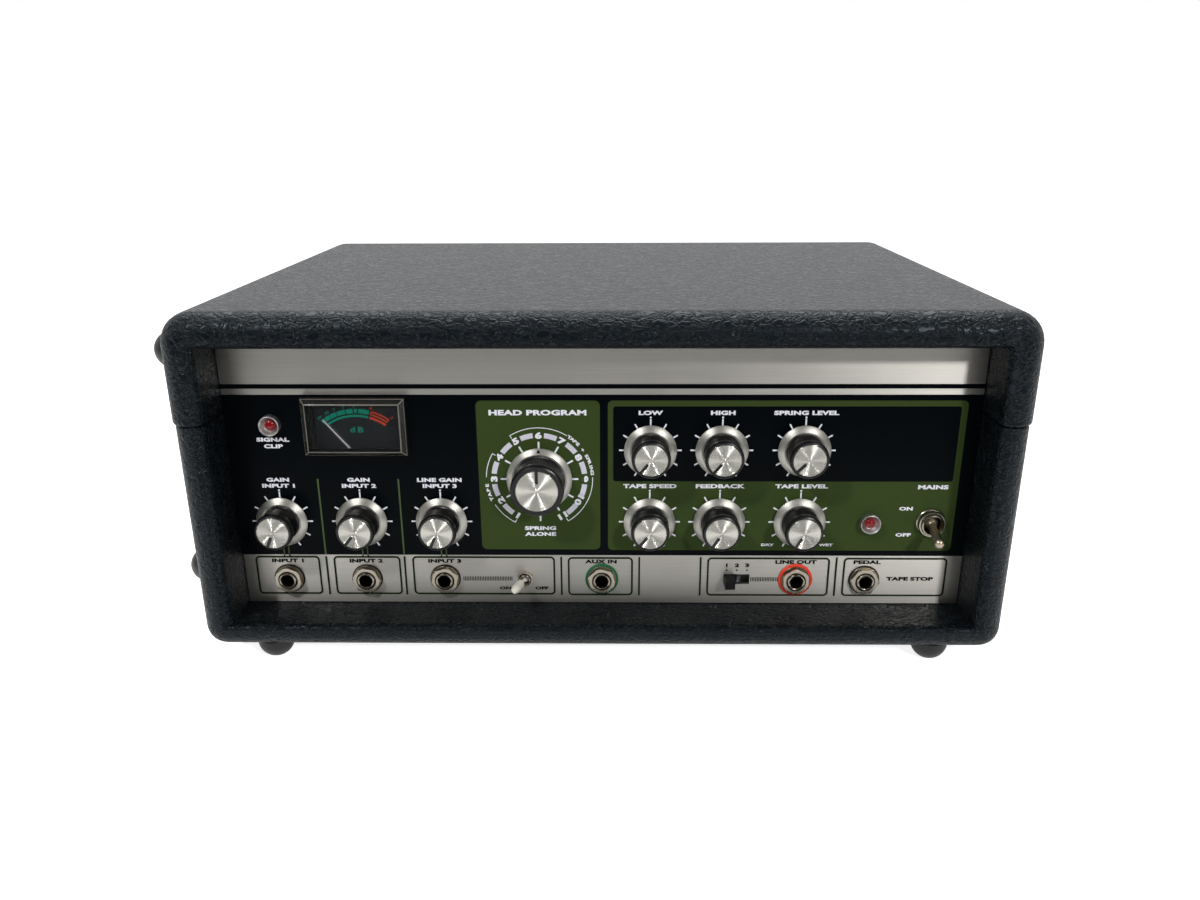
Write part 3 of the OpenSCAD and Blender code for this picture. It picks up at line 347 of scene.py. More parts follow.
def make_materials():
    """Each finish by name: the colours are the two that its grain moves between."""
    metal = {"Metallic": 1.0}
    ink = {"Specular_IOR_Level": 0.05}
    matt = {"Specular_IOR_Level": 0.15}
    dull = {"Specular_IOR_Level": 0.3}
    waxy = {"Specular_IOR_Level": 0.4}
    table = {
        # silk-screened enamel inks, which lie flat and satin on the metal
        "black_enamel": (("#010407", "#02060a"), (0.3, 0.36), 0.6, 0.004, ink),
        "green_enamel": (("#33421e", "#3a4a26"), (0.34, 0.42), 0.6, 0.004, ink),
        "pale_green_ink": (("#4a5a38", "#506042"), (0.4, 0.5), 0.6, 0.004, ink),
        "dark_ink": (("#0a0f0c", "#101610"), (0.35, 0.45), 0.6, 0.004, ink),
        "dark_green_ink": (("#1c2614", "#222d18"), (0.35, 0.45), 0.6, 0.004, ink),
        "white_ink": (("#e4e4ee", "#f0f0f6"), (0.4, 0.5), 0.6, 0.004, ink),
        "lilac_ink": (("#d0cedb", "#dad8e3"), (0.4, 0.5), 0.6, 0.004, ink),
        "teal_ink": (("#078a70", "#0b987e"), (0.5, 0.6), 0.6, 0.004, ink),
        "orange_ink": (("#d8482e", "#e6563a"), (0.5, 0.6), 0.6, 0.004, ink),
        # matt printed card behind the meter's needle
        "meter_card": (("#202325", "#26292b"), (0.6, 0.75), 0.25, 0.01, ink),
        # phenolic knob moulding, deep black and waxy
        "black_phenolic": (("#060607", "#0d0d0f"), (0.24, 0.36), 0.4, 0.01, waxy),
        # nickel plate on brass, dulled by age, with fine rub marks
        "aged_nickel": (("#8f887c", "#aea79a"), (0.14, 0.28), 1.2, 0.012, metal),
        # nickel plate of the power lever, rubbed satin by fingers
        "rubbed_nickel": (("#a69c88", "#beb5a1"), (0.3, 0.42), 1.2, 0.012, metal),
        # nickel-plated washers, darker and browner than the nuts
        "dark_brown_nickel": (("#665e50", "#857c6c"), (0.28, 0.42), 1.0, 0.02, metal),
        # chromium plate, bright and cool
        "chromium_plate": (("#c0c2c4", "#d4d6d7"), (0.08, 0.18), 1.5, 0.004, metal),
        # chromium plate inside the lamp cups, clouded by age
        "satin_chrome": (("#b4b4b3", "#cececd"), (0.38, 0.5), 0.8, 0.02, metal),
        # zinc-plated sheet steel, cloudy
        "zinc_plate": (("#8f9194", "#adafb0"), (0.32, 0.5), 6.0, 0.02, metal),
        # turned and ground steel
        "ground_steel": (("#9c9ea0", "#b8babc"), (0.18, 0.3), 1.0, 0.006, metal),
        # lacquered brass
        "turned_brass": (("#a98b4a", "#c2a35c"), (0.2, 0.34), 1.0, 0.006, metal),
        # stoved black paint on the rear plate, with a slight orange peel
        "stove_enamel": (("#0e0f10", "#17181a"), (0.4, 0.55), 1.2, 0.04, dull),
        # moulded black rubber, worn to a slight gloss
        "moulded_rubber": (("#0c0c0d", "#17171a"), (0.3, 0.5), 1.6, 0.03, {}),
        # moulded thermoplastics of washers, levers and bins
        "black_abs": (("#060607", "#0c0d0e"), (0.35, 0.48), 0.5, 0.01, matt),
        "green_abs": (("#0f5a38", "#15683f"), (0.35, 0.48), 0.5, 0.01, dull),
        "red_abs": (("#e03a22", "#ea4a30"), (0.35, 0.48), 0.5, 0.01, dull),
        "ivory_abs": (("#dad6c8", "#e8e5da"), (0.3, 0.42), 0.5, 0.01, dull),
        # leatherette of the handle, smoother than the case's
        "strap_leatherette": (("#131416", "#1c1d20"), (0.4, 0.55), 1.8, 0.12, dull),
        # recording tape, back side out, brown and slightly shiny
        "oxide_tape": (("#3a241a", "#4c3024"), (0.3, 0.42), 3.0, 0.004, {}),
        # paper-wrapped copper coil
        "wrapped_coil": (("#7a5a2c", "#94703c"), (0.5, 0.65), 1.0, 0.03, {}),
        # glass-epoxy board under green solder resist
        "circuit_board": (("#2d4a26", "#3b5c30"), (0.3, 0.45), 1.4, 0.02, {}),
    }
    made = {
        name: speckled(name, colours, roughness, grain, depth, **sockets)
        for name, (colours, roughness, grain, depth, sockets) in table.items()
    }
    for maker in (vinyl_leathercloth, brushed_aluminium, spun_aluminium, turned_aluminium,
                  clear_acrylic, red_lens_plastic):
        made[maker.__name__] = maker()
    # The clear moulding's flanks are painted grey: the dark slope is a painted reflection, the light edge a
    # painted highlight.
    made["acrylic_slope_painted_reflection"] = acrylic_flank("acrylic_slope_painted_reflection", ("#2c2c2a", "#3e3e3a"), 0.5)
    made["acrylic_edge_painted_highlight"] = acrylic_flank("acrylic_edge_painted_highlight", ("#6c695f", "#88847a"), 0.85)
    return made


FINISH = make_materials()


# ---------------------------------------------------------------- modelling by hand

def deselect():
    bpy.ops.object.select_all(action="DESELECT")


def only(piece):
    """Makes a piece the one that is selected and active."""
    deselect()
    piece.select_set(True)
    bpy.context.view_layer.objects.active = piece


def settle(name, finish):
    """Names the new primitive, puts its place in its mesh and gives it its finish."""
    piece = bpy.context.object
    piece.name = piece.data.name = name
    only(piece)
    bpy.ops.object.transform_apply(location=True, rotation=True, scale=True)
    piece.data.materials.clear()
    piece.data.materials.append(FINISH[finish])
    return piece


def block(name, low, high, finish="black_abs"):
    """A box between two corners, in metres, as a start for shaping."""
    deselect()
    bpy.ops.mesh.primitive_cube_add(size=1, location=(Vector(low) + Vector(high)) / 2)
    bpy.context.object.scale = Vector(high) - Vector(low)
    return settle(name, finish)


def pick(piece, kind, test):
    """Enters edit mode with those vertices, edges or faces selected that pass the test.
    A face is tested by its middle and normal, an edge by its two ends and a vertex by its place."""
    only(piece)
    bpy.ops.object.mode_set(mode="EDIT")
    bpy.ops.mesh.select_mode(type=kind)
    bpy.ops.mesh.select_all(action="DESELECT")
    bpy.ops.object.mode_set(mode="OBJECT")
    mesh = piece.data
    if kind == "FACE":
        for face in mesh.polygons:
            face.select = test(face.center, face.normal)
    elif kind == "EDGE":
        for edge in mesh.edges:
            edge.select = test(*[mesh.vertices[i].co for i in edge.vertices])
    else:
        for corner in mesh.vertices:
            corner.select = test(corner.co)
    bpy.ops.object.mode_set(mode="EDIT")


def edit(piece, kind="VERT"):
    """Enters edit mode on one piece with everything selected."""
    only(piece)
    bpy.ops.object.mode_set(mode="EDIT")
    bpy.ops.mesh.select_mode(type=kind)
    bpy.ops.mesh.select_all(action="SELECT")


def done():
    bpy.ops.object.mode_set(mode="OBJECT")


def bevel_edges(piece, test, width, segments=3):
    """Rounds the edges that pass the test, by a width in mm."""
    pick(piece, "EDGE", test)
    bpy.ops.mesh.bevel(offset=width * MM, segments=segments, affect="EDGES", clamp_overlap=True)
    done()


def ease(piece, width):
    """Rounds every edge of a piece by a width in mm."""
    bevel_edges(piece, lambda a, b: True, width, 2)


def apply(piece, kind, **settings):
    """Adds a modifier with its settings and applies it."""
    only(piece)
    added = piece.modifiers.new(kind, kind)
    for key, value in settings.items():
        setattr(added, key, value)
    bpy.ops.object.modifier_apply(modifier=added.name)


def cut_out(piece, cutter, operation="DIFFERENCE"):
    """Cuts the cutter's shape out of a piece and removes the cutter."""
    apply(piece, "BOOLEAN", object=cutter, operation=operation, solver="EXACT")
    bpy.data.objects.remove(cutter)


def cut_box(piece, low, high):
    """Cuts a box between two corners out of a piece."""
    cut_out(piece, block("cutter", low, high))


def cut_round(piece, centre, profile, steps=48):
    """Cuts a turned shape out of a piece, facing out of the panel."""
    cut_out(piece, lathe("cutter", centre, profile, "black_abs", steps))


def smooth(piece, angle=35):
    only(piece)
    bpy.ops.object.shade_smooth_by_angle(angle=math.radians(angle))


def join(name, pieces):
    """Joins pieces into the first one, under a new name."""
    deselect()
    for piece in pieces:
        piece.select_set(True)
    bpy.context.view_layer.objects.active = pieces[0]
    if len(pieces) > 1:
        bpy.ops.object.join()
    joined = bpy.context.object
    joined.name = joined.data.name = name
    return joined


def copied(piece, shift, turn=0.0, about=None):
    """A copy with its own mesh, moved by shift and turned anticlockwise in degrees, as seen from
    the front, about a place."""
    only(piece)
    bpy.ops.object.duplicate()
    twin = bpy.context.object
    edit(twin)
    bpy.ops.transform.translate(value=shift)
    if turn:
        bpy.ops.transform.rotate(value=math.radians(turn), orient_axis="Y", center_override=about)
    done()
    return twin


def mirrored(piece, axis):
    """A copy with its own mesh, on the other side of the middle of an axis."""
    only(piece)
    bpy.ops.object.duplicate()
    twin = bpy.context.object
    edit(twin)
    factors = [-1 if i == axis else 1 for i in range(3)]
    bpy.ops.transform.resize(value=factors, center_override=(0, 0, 0))
    bpy.ops.mesh.normals_make_consistent(inside=False)
    done()
    return twin


def seat(piece, body, slot, *nodes):
    """Lets a piece move with its body and hides the nodes that it stands for. The slot is not used."""
    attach(piece, body)
    if nodes:
        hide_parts(*nodes)
    return piece


def draw(name, places, finish):
    """A line through places, drawn by extruding one point, and left selected in edit mode."""
    deselect()
    bpy.ops.mesh.primitive_plane_add(size=MM, location=places[0])
    piece = settle(name, finish)
    edit(piece)
    bpy.ops.mesh.merge(type="CENTER")
    for before, after in zip(places, places[1:]):
        bpy.ops.mesh.extrude_vertices_move(TRANSFORM_OT_translate={"value": after - before})
    bpy.ops.mesh.select_all(action="SELECT")
    return piece


def weld():
    """In edit mode: merges what lies in one place and turns every face outwards."""
    bpy.ops.mesh.select_all(action="SELECT")
    bpy.ops.mesh.remove_doubles(threshold=TOUCHING)
    bpy.ops.mesh.normals_make_consistent(inside=False)


def lathe(name, centre, profile, finish, steps=48, axis=OUT):
    """A turned piece: (radius, height) points in mm, drawn as a line and spun round an axis
    through centre."""
    side = UP if abs(axis.x) > 0.9 else RIGHT
    side = (side - axis * side.dot(axis)).normalized()
    piece = draw(name, [centre + side * r * MM + axis * h * MM for r, h in profile], finish)
    bpy.ops.mesh.spin(steps=steps, angle=TURN, center=centre, axis=axis)
    weld()
    done()
    smooth(piece)
    return piece


def ring_profile(inner, outer, low, high, round_by=0.3):
    """The section of a flat ring with its outer corners eased, as a closed line."""
    return [(inner, low), (outer - round_by, low), (outer, low + round_by), (outer, high - round_by),
            (outer - round_by, high), (inner, high), (inner, low)]


# ---------------------------------------------------------------- case

BASE_LOW, BASE_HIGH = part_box("base_case")
LID_LOW, LID_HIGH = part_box("lid")
SEAM_Z = LID_LOW.z
# Radii of the case's rounded edges, in mm
EDGE_R = 11
SIDE_R = 16
LIP_R = 5
LOW_LIP_R = 2.8
SEAM_R = 1.6
# Thicknesses of the case's boards, and where the space behind the panel starts, in metres
FRAME_SIDE = 17.25 * MM
FRAME_TOP = 17 * MM
WALL = 12 * MM
FLOOR = 14 * MM
CAVITY_Y = PANEL_HIGH.y + 2 * MM
# How far a cutter overshoots, and how near two places count as the same, in metres
OVER = 1 * MM
NEAR = 0.02 * MM


def same(a, b):
    return abs(a - b) < NEAR


def both(a, b, axis, value):
    """Whether both ends of an edge lie at this value on an axis, 0 for x, 1 for y and 2 for z."""
    return same(a[axis], value) and same(b[axis], value)


def hollow(piece, high, z0, z1, roof):
    """Cuts the front opening and the inside of the case from z0 to z1, the inside up to roof."""
    left, right, front = LID_LOW.x, LID_HIGH.x, BASE_LOW.y
    cut_box(piece, (left + FRAME_SIDE, front - OVER, z0), (right - FRAME_SIDE, CAVITY_Y + OVER, z1))
    cut_box(piece, (left + WALL, CAVITY_Y, z0), (right - WALL, high.y - WALL, roof))


def round_lip(piece, level, level_r):
    """Rounds the opening's front edges: both sides by LIP_R, and the edge at a level by level_r."""
    front = BASE_LOW.y
    mesh = piece.data
    weight = mesh.attributes.new("bevel_weight_edge", "FLOAT", "EDGE")
    sides = (LID_LOW.x + FRAME_SIDE, LID_HIGH.x - FRAME_SIDE)
    for edge in mesh.edges:
        a, b = (mesh.vertices[i].co for i in edge.vertices)
        if both(a, b, 1, front):
            if any(both(a, b, 0, x) for x in sides):
                weight.data[edge.index].value = 1.0
            elif both(a, b, 2, level):
                weight.data[edge.index].value = level_r / LIP_R
    apply(piece, "BEVEL", limit_method="WEIGHT", width=LIP_R * MM, segments=5)


def finish_shell(piece):
    """Eases the seam's edges and shades the shell with flat faces and round edges."""
    bevel_edges(piece, lambda a, b: both(a, b, 2, SEAM_Z), SEAM_R, 3)
    smooth(piece, 40)
    apply(piece, "WEIGHTED_NORMAL", keep_sharp=True)


def make_base():
    low, high = BASE_LOW, BASE_HIGH
    base = block("base_shell", low, high, "vinyl_leathercloth")
    bevel_edges(base, lambda a, b: not both(a, b, 2, high.z) and (
        both(a, b, 1, low.y) or both(a, b, 1, high.y) or both(a, b, 2, low.z)), EDGE_R, 7)
    floor = low.z + FLOOR
    hollow(base, high, floor, high.z + OVER, high.z + OVER)
    window_low, window_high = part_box("rear_panel")
    rim = 8 * MM
    cut_box(base, (window_low.x + rim, high.y - WALL - OVER, window_low.z + rim),
            (window_high.x - rim, high.y + OVER, window_high.z - rim))
    round_lip(base, floor, LOW_LIP_R)
    finish_shell(base)
    seat(base, "case", "vinyl_on_plywood", "base_case")


def make_lid():
    low, high = LID_LOW, LID_HIGH
    lid = block("lid_shell", low, high, "vinyl_leathercloth")
    bevel_edges(lid, lambda a, b: both(a, b, 2, high.z) and same(a.x, b.x), SIDE_R, 9)
    bevel_edges(lid, lambda a, b: not both(a, b, 2, low.z) and (
        both(a, b, 1, low.y) or both(a, b, 1, high.y)), EDGE_R, 7)
    brow = high.z - FRAME_TOP
    hollow(lid, high, low.z - OVER, brow, high.z - WALL)
    round_lip(lid, brow, LIP_R)
    finish_shell(lid)
    seat(lid, "lid", "vinyl_on_plywood", "lid")


# ---------------------------------------------------------------- feet and handle

FOOT_R = 9.5
FOOT_H = 11
FOOT_FLAT = 0.6


def rubber_foot(base, axis):
    """A domed rubber foot on a face at base, with a sunk screw in its middle."""
    dome = [(FOOT_R * math.cos(a), FOOT_R - FOOT_FLAT - FOOT_R * math.sin(a))
            for a in (math.radians(d) for d in range(0, 66, 8))]
    profile = [(0, FOOT_H), (FOOT_R - 0.6, FOOT_H), (FOOT_R, FOOT_H - 0.5)] + dome
    profile += [(3.4, 0), (3.0, 2.4), (0, 2.4)]
    tip = base - axis * FOOT_H * MM
    foot = lathe("foot", tip, profile, "moulded_rubber", 40, axis)
    screw = [(0, 2.3), (2.9, 2.3), (2.9, 1.6), (2.2, 0.9), (1.2, 0.7), (1.0, 1.2), (0, 1.2)]
    return join("foot", [foot, lathe("screw", tip, screw, "zinc_plate", 24, axis)])


def make_feet():
    base_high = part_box("base_feet")[1]
    lid_low, lid_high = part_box("lid_feet")
    inset = base_high.y - FOOT_R * MM
    reach = base_high.x - FOOT_R * MM
    below = rubber_foot(Vector((reach, -inset, BASE_LOW.z)), UP)
    across = Vector((2 * (MID_X - reach), 0, 0))
    along = Vector((0, 2 * inset, 0))
    floor_feet = [below] + [copied(below, shift) for shift in (across, along, across + along)]
    low_z = base_high.z - FOOT_R * MM
    near = lid_low.y + FOOT_R * MM
    side = rubber_foot(Vector((BASE_LOW.x, near, low_z)), RIGHT)
    to_lid = Vector((LID_LOW.x - BASE_LOW.x, 0, (lid_low.z + lid_high.z) / 2 - low_z))
    to_rear = Vector((0, -2 * near, 0))
    lid_feet = [copied(side, to_lid), copied(side, to_lid + to_rear)]
    side_feet = [side, copied(side, to_rear)]
    seat(join("rubber_feet_base", floor_feet + side_feet), "case", "rubber", "base_feet")
    seat(join("rubber_feet_lid", lid_feet), "lid", "rubber", "lid_feet")


def make_handle():
    """The strap is a padded leatherette band, spun from its near end to its far end in one arc."""
    low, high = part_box("handle_strap")
    out = (high.x - BASE_HIGH.x) / MM
    chord = (high.y - low.y) / 2 / MM
    sag = out - 9
    radius = (chord * chord + sag * sag) / (2 * sag)
    half = math.asin(chord / radius)
    centre = Vector((BASE_HIGH.x + (out - radius) * MM, 0, (low.z + high.z) / 2))
    wide = (high.z - low.z) / 2 / MM
    thick = 6
    section = [(0.6, -wide), (thick - 1.6, -wide), (thick, -wide + 2.2), (thick, -wide + 5),
               (thick - 0.7, -wide + 6), (thick - 0.7, wide - 6), (thick, wide - 5),
               (thick, wide - 2.2), (thick - 1.6, wide), (0.6, wide), (0, wide - 1.2),
               (0, -wide + 1.2), (0.6, -wide)]
    start = Vector((math.cos(half), -math.sin(half), 0))
    places = [centre + start * (radius - thick + r) * MM + UP * z * MM for r, z in section]
    strap = draw("carrying_strap", places, "strap_leatherette")
    bpy.ops.mesh.remove_doubles(threshold=TOUCHING)
    bpy.ops.mesh.edge_face_add()
    bpy.ops.mesh.spin(steps=40, angle=2 * half, center=centre, axis=-UP)
    weld()
    done()
    smooth(strap, 40)
    seat(strap, "handle", "strap", "handle_strap")


def make_brackets():
    """Each end cap is a pressed cover, open towards the strap, with one screw."""
    low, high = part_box("handle_brackets")
    near = high.y - 28 * MM
    wall = 2 * MM
    cap = block("cap", (low.x, near, low.z), high, "chromium_plate")
    bevel_edges(cap, lambda a, b: both(a, b, 0, high.x) and both(a, b, 1, high.y), 5, 6)
    bevel_edges(cap, lambda a, b: a.x > low.x + NEAR and b.x > low.x + NEAR
                and (both(a, b, 2, low.z) or both(a, b, 2, high.z)), 1.2, 3)
    cut_box(cap, (low.x + wall, near - OVER, low.z + wall), high - Vector((wall,) * 3))
    smooth(cap, 40)
    other = mirrored(cap, 1)
    middle = Vector((high.x, (near + high.y) / 2, (low.z + high.z) / 2))
    head = [(0, -0.3), (3.4, -0.3), (3.4, 0.2), (2.6, 0.9), (1.1, 1.2), (1.0, 0.5), (0, 0.5)]
    screw = lathe("screw", middle, head, "chromium_plate", 32, RIGHT)
    caps = [cap, other, screw, copied(screw, Vector((0, -2 * middle.y, 0)))]
    seat(join("handle_end_caps", caps), "case", "chrome", "handle_brackets")


# ---------------------------------------------------------------- printing on the panel

# Thickness of the ink and how far each layer of it stands out of the panel, in mm
INK = 0.06
FIELD_OUT = 0.05
GREEN_OUT = 0.10
INSET_OUT = 0.15
MARK_OUT = 0.20
# Height of a capital letter in the built-in font, as a share of the font's size
CAPITALS = 0.682


def plate(x, z, width, height, finish, out=MARK_OUT, corner=0.0, turn=0.0):
    """A flat printed shape on the panel, facing out, turned clockwise in degrees."""
    deselect()
    bpy.ops.mesh.primitive_plane_add(
        size=1, location=spot(x, z, out), rotation=(TURN / 4, math.radians(turn), 0))
    bpy.context.object.scale = (width * MM, height * MM, 1)
    piece = settle("mark", finish)
    if corner:
        edit(piece)
        bpy.ops.mesh.bevel(offset=corner * MM, segments=6, affect="VERTICES")
        done()
    return piece


def span_plate(x0, x1, z0, z1, finish, out=MARK_OUT, corner=0.0):
    return plate((x0 + x1) / 2, (z0 + z1) / 2, x1 - x0, z1 - z0, finish, out, corner)


def outline(x0, x1, z0, z1, line, corner, finish):
    """A printed frame: a rounded plate, inset by the line's width and emptied."""
    piece = span_plate(x0, x1, z0, z1, finish, MARK_OUT, corner)
    edit(piece, "FACE")
    bpy.ops.mesh.inset(thickness=line * MM)
    bpy.ops.mesh.delete(type="FACE")
    done()
    return piece


def band(x, z, inner, outer, start, end, finish, out=MARK_OUT):
    """A printed arc: a short line spun from one angle to another, clockwise from the top."""
    centre = spot(x, z, out)
    ends = [Vector((MID_X + px * MM, centre.y, pz * MM))
            for px, pz in (clockwise(x, z, inner, start), clockwise(x, z, outer, start))]
    piece = draw("mark", ends, finish)
    steps = max(2, round(abs(end - start) / 4))
    bpy.ops.mesh.spin(steps=steps, angle=math.radians(end - start), center=centre, axis=(0, -1, 0))
    done()
    return piece


def letters(words, x, z, cap, finish, wide=1.75, turn=0.0, out=MARK_OUT, bold=0.05):
    """Raised ink letters, cap mm high, widened, centred on x and z and turned clockwise."""
    deselect()
    bpy.ops.object.text_add()
    text = bpy.context.object
    text.data.body = words
    text.data.size = cap / CAPITALS * MM
    text.data.offset = bold * text.data.size
    text.data.extrude = INK / 2 * MM
    text.data.space_character = 1.04
    text.data.resolution_u = 3
    bpy.ops.object.convert(target="MESH")
    bpy.ops.object.origin_set(type="ORIGIN_GEOMETRY", center="BOUNDS")
    lettering = bpy.context.object
    lettering.location = spot(x, z, out)
    lettering.rotation_euler = (TURN / 4, math.radians(turn), 0)
    lettering.scale.x = wide
    return settle("mark", finish)


def thicken(piece):
    """Gives printed plates the thickness of their ink, outwards."""
    edit(piece)
    bpy.ops.mesh.normals_make_consistent(inside=False)
    done()
    apply(piece, "SOLIDIFY", thickness=INK * MM, offset=0.0)


# Thickness of the meter window's side walls, in metres, round which the black field is cut out
METER_RIM = 2.5 * MM

# Heights of the printed fields above the ground, in mm
STRIP_TOP = 53.0
FIELD_TOP = 140.0
BAR_TOP = 143.1
LINE_TOP = 145.4
COLUMN_TOP = 95.5
DIVIDER_LOW, DIVIDER_HIGH = 29.7, 52.0
JACK_Z = hub("jack_nuts")[1]

# How far each knob's pointer is turned anticlockwise from the top, in degrees
POINTERS = {
    "input_1_knob": 156, "input_2_knob": 141, "input_3_knob": 156, "bass_knob": 141,
    "treble_knob": 141, "reverb_knob": 134, "rate_knob": 141, "intensity_knob": 148, "echo_knob": 150}
TICK_STEP = 30
# Radii round the selector of its numbers, of the bars between them and of the brackets
NUMBER_RING = 23.3
BAR_RING = (22.0, 24.7)
BRACKET_RING = (27.1, 27.5)


def make_fields():
    half = (PANEL_HIGH.x - PANEL_LOW.x) / 2 / MM
    black = span_plate(-half, half, STRIP_TOP, FIELD_TOP, "black_enamel", FIELD_OUT)
    line = span_plate(-half, half, BAR_TOP, LINE_TOP, "black_enamel", FIELD_OUT)
    low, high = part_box("meter_cover")
    black = join("black_field", [black, line])
    thicken(black)
    cut_box(black, (low.x + METER_RIM, FACE_Y - 5 * MM, low.z + METER_RIM),
            (high.x - METER_RIM, FACE_Y + OVER, high.z - METER_RIM))
    seat(black, "case", "aluminium")
    greens = [span_plate(-62.5, -0.2, 56.3, 137.0, "green_enamel", GREEN_OUT, 2.8),
              span_plate(3.8, 183.0, 56.0, 137.0, "green_enamel", GREEN_OUT, 2.5)]
    green = join("green_fields", greens)
    thicken(green)
    bushing_hole = 6.3
    hole = [(0, 5), (bushing_hole, 5), (bushing_hole, -5), (0, -5)]
    cut_round(green, spot(*hub("power_nut")), hole)
    seat(green, "case", "aluminium")
    inset = span_plate(6.5, 179.8, 94.4, 134.0, "black_enamel", INSET_OUT, 1.3)
    inset.name = "black_inset"
    thicken(inset)
    seat(inset, "case", "aluminium")


BOXES = ((-183.9, -149.4, 29.9, 52.2), (-142.2, -106.4, 29.9, 52.2), (-100.2, -24.3, 29.9, 52.2),
         (-17.6, 17.0, 29.6, 51.9), (56.2, 120.9, 29.6, 51.9), (128.0, 182.4, 29.6, 51.9))
DIVIDERS = (-21.0, 20.3, 52.75, 124.3)
COLUMN_LINES = (-145.9, -104.2)
RANGE_X = (66.6, 72.0, 77.4)
WHITE_WORDS = (
    ("SIGNAL", -166.6, 116.6, 1.85), ("CLIP", -166.6, 113.1, 1.85),
    ("GAIN", -166.6, 95.0, 1.85), ("INPUT 1", -166.6, 91.7, 1.85),
    ("GAIN", -124.8, 95.0, 1.85), ("INPUT 2", -124.8, 91.7, 1.85),
    ("LINE GAIN", -83.0, 95.0, 1.85), ("INPUT 3", -83.0, 91.7, 1.85),
    ("HEAD PROGRAM", -31.5, 130.8, 2.45), ("SPRING", -31.5, 68.4, 1.85), ("ALONE", -31.5, 65.1, 1.85),
    ("LOW", 25.35, 130.7, 1.95), ("HIGH", 61.5, 130.7, 1.95), ("SPRING LEVEL", 103.1, 130.7, 1.95),
    ("TAPE SPEED", 25.35, 91.8, 1.95), ("FEEDBACK", 61.5, 91.8, 1.95), ("TAPE LEVEL", 103.1, 91.8, 1.95),
    ("MAINS", 170.3, 91.4, 2.0), ("ON", 157.6, 79.6, 1.7), ("OFF", 157.6, 65.0, 1.7),
    ("DRY", 87.4, 59.2, 1.25), ("WET", 117.8, 59.2, 1.25))
DARK_WORDS = (
    ("INPUT 1", -166.6, 49.5, 1.85), ("INPUT 2", -124.7, 49.5, 1.85), ("INPUT 3", -82.9, 49.5, 1.85),
    ("AUX IN", 0.0, 49.35, 1.85), ("LINE OUT", 103.0, 49.35, 1.85), ("PEDAL", 140.4, 49.35, 1.85),
    ("TAPE STOP", 163.6, 39.8, 1.85), ("ON", -51.1, 33.8, 1.5), ("OFF", -31.6, 33.8, 1.5),
    *((str(i + 1), x, 47.4, 1.8) for i, x in enumerate(RANGE_X)))


def knob_ticks(x, z):
    """Eleven ticks over 300 degrees round a small knob, the top one longer and with a dot."""
    marks = []
    inner = 12.5
    for angle in range(-150, 151, TICK_STEP):
        outer = 15.9 if angle else 16.4
        px, pz = clockwise(x, z, (inner + outer) / 2, angle)
        marks.append(plate(px, pz, 0.8, outer - inner, "white_ink", corner=0.2, turn=angle))
    marks.append(plate(x, z + 17.2, 1.0, 1.0, "white_ink", corner=0.42))
    return join("ticks", marks)


def selector_marks(x, z):
    """Twelve ticks, the bottom one longer, the bars between the numbers and four brackets."""
    ticks = [plate(x, z + 17.5, 0.95, 5.0, "white_ink", corner=0.2)]
    ticks += [copied(ticks[0], Vector(), angle, spot(x, z)) for angle in range(30, 360, TICK_STEP)]
    ticks.append(plate(x, z - 21.0, 0.95, 4.6, "white_ink", corner=0.2))
    marks = [join("ticks", ticks)]
    marks += [band(x, z, *BAR_RING, angle + 7, angle + 23, "lilac_ink")
              for angle in range(-150, 150, TICK_STEP)]
    for start, end, hook in ((-151, -121, -151), (-88, -60, -60), (-32, 32, -32), (88, 148, 148)):
        marks.append(band(x, z, *BRACKET_RING, start, end, "white_ink"))
        px, pz = clockwise(x, z, 26.5, hook)
        marks.append(plate(px, pz, 0.4, 2.0, "white_ink", turn=hook))
    return marks


def selector_numbers(x, z):
    numbers = []
    for number in range(1, 12):
        angle = TICK_STEP * (number - 6)
        px, pz = clockwise(x, z, NUMBER_RING, angle)
        numbers.append(letters(str(number), px, pz, 2.9, "white_ink", 1.5, angle, bold=0.06))
    return numbers


def arc_letters(words, x, z, radius, middle, step, cap):
    """Letters one by one along an arc, clockwise."""
    first = middle - step * (len(words) - 1) / 2
    made = []
    for i, letter in enumerate(words):
        if letter != " ":
            angle = first + i * step
            px, pz = clockwise(x, z, radius, angle)
            made.append(letters(letter, px, pz, cap, "white_ink", 1.5, angle))
    return made


def hatch(x0, x1, z, count):
    """A row of fine upright strokes between two places, which ties two controls together."""
    step = (x1 - x0) / (count - 1) * MM
    first = plate(x0, z, 0.42, 2.4, "dark_ink")
    return [first] + [copied(first, RIGHT * i * step) for i in range(1, count)]


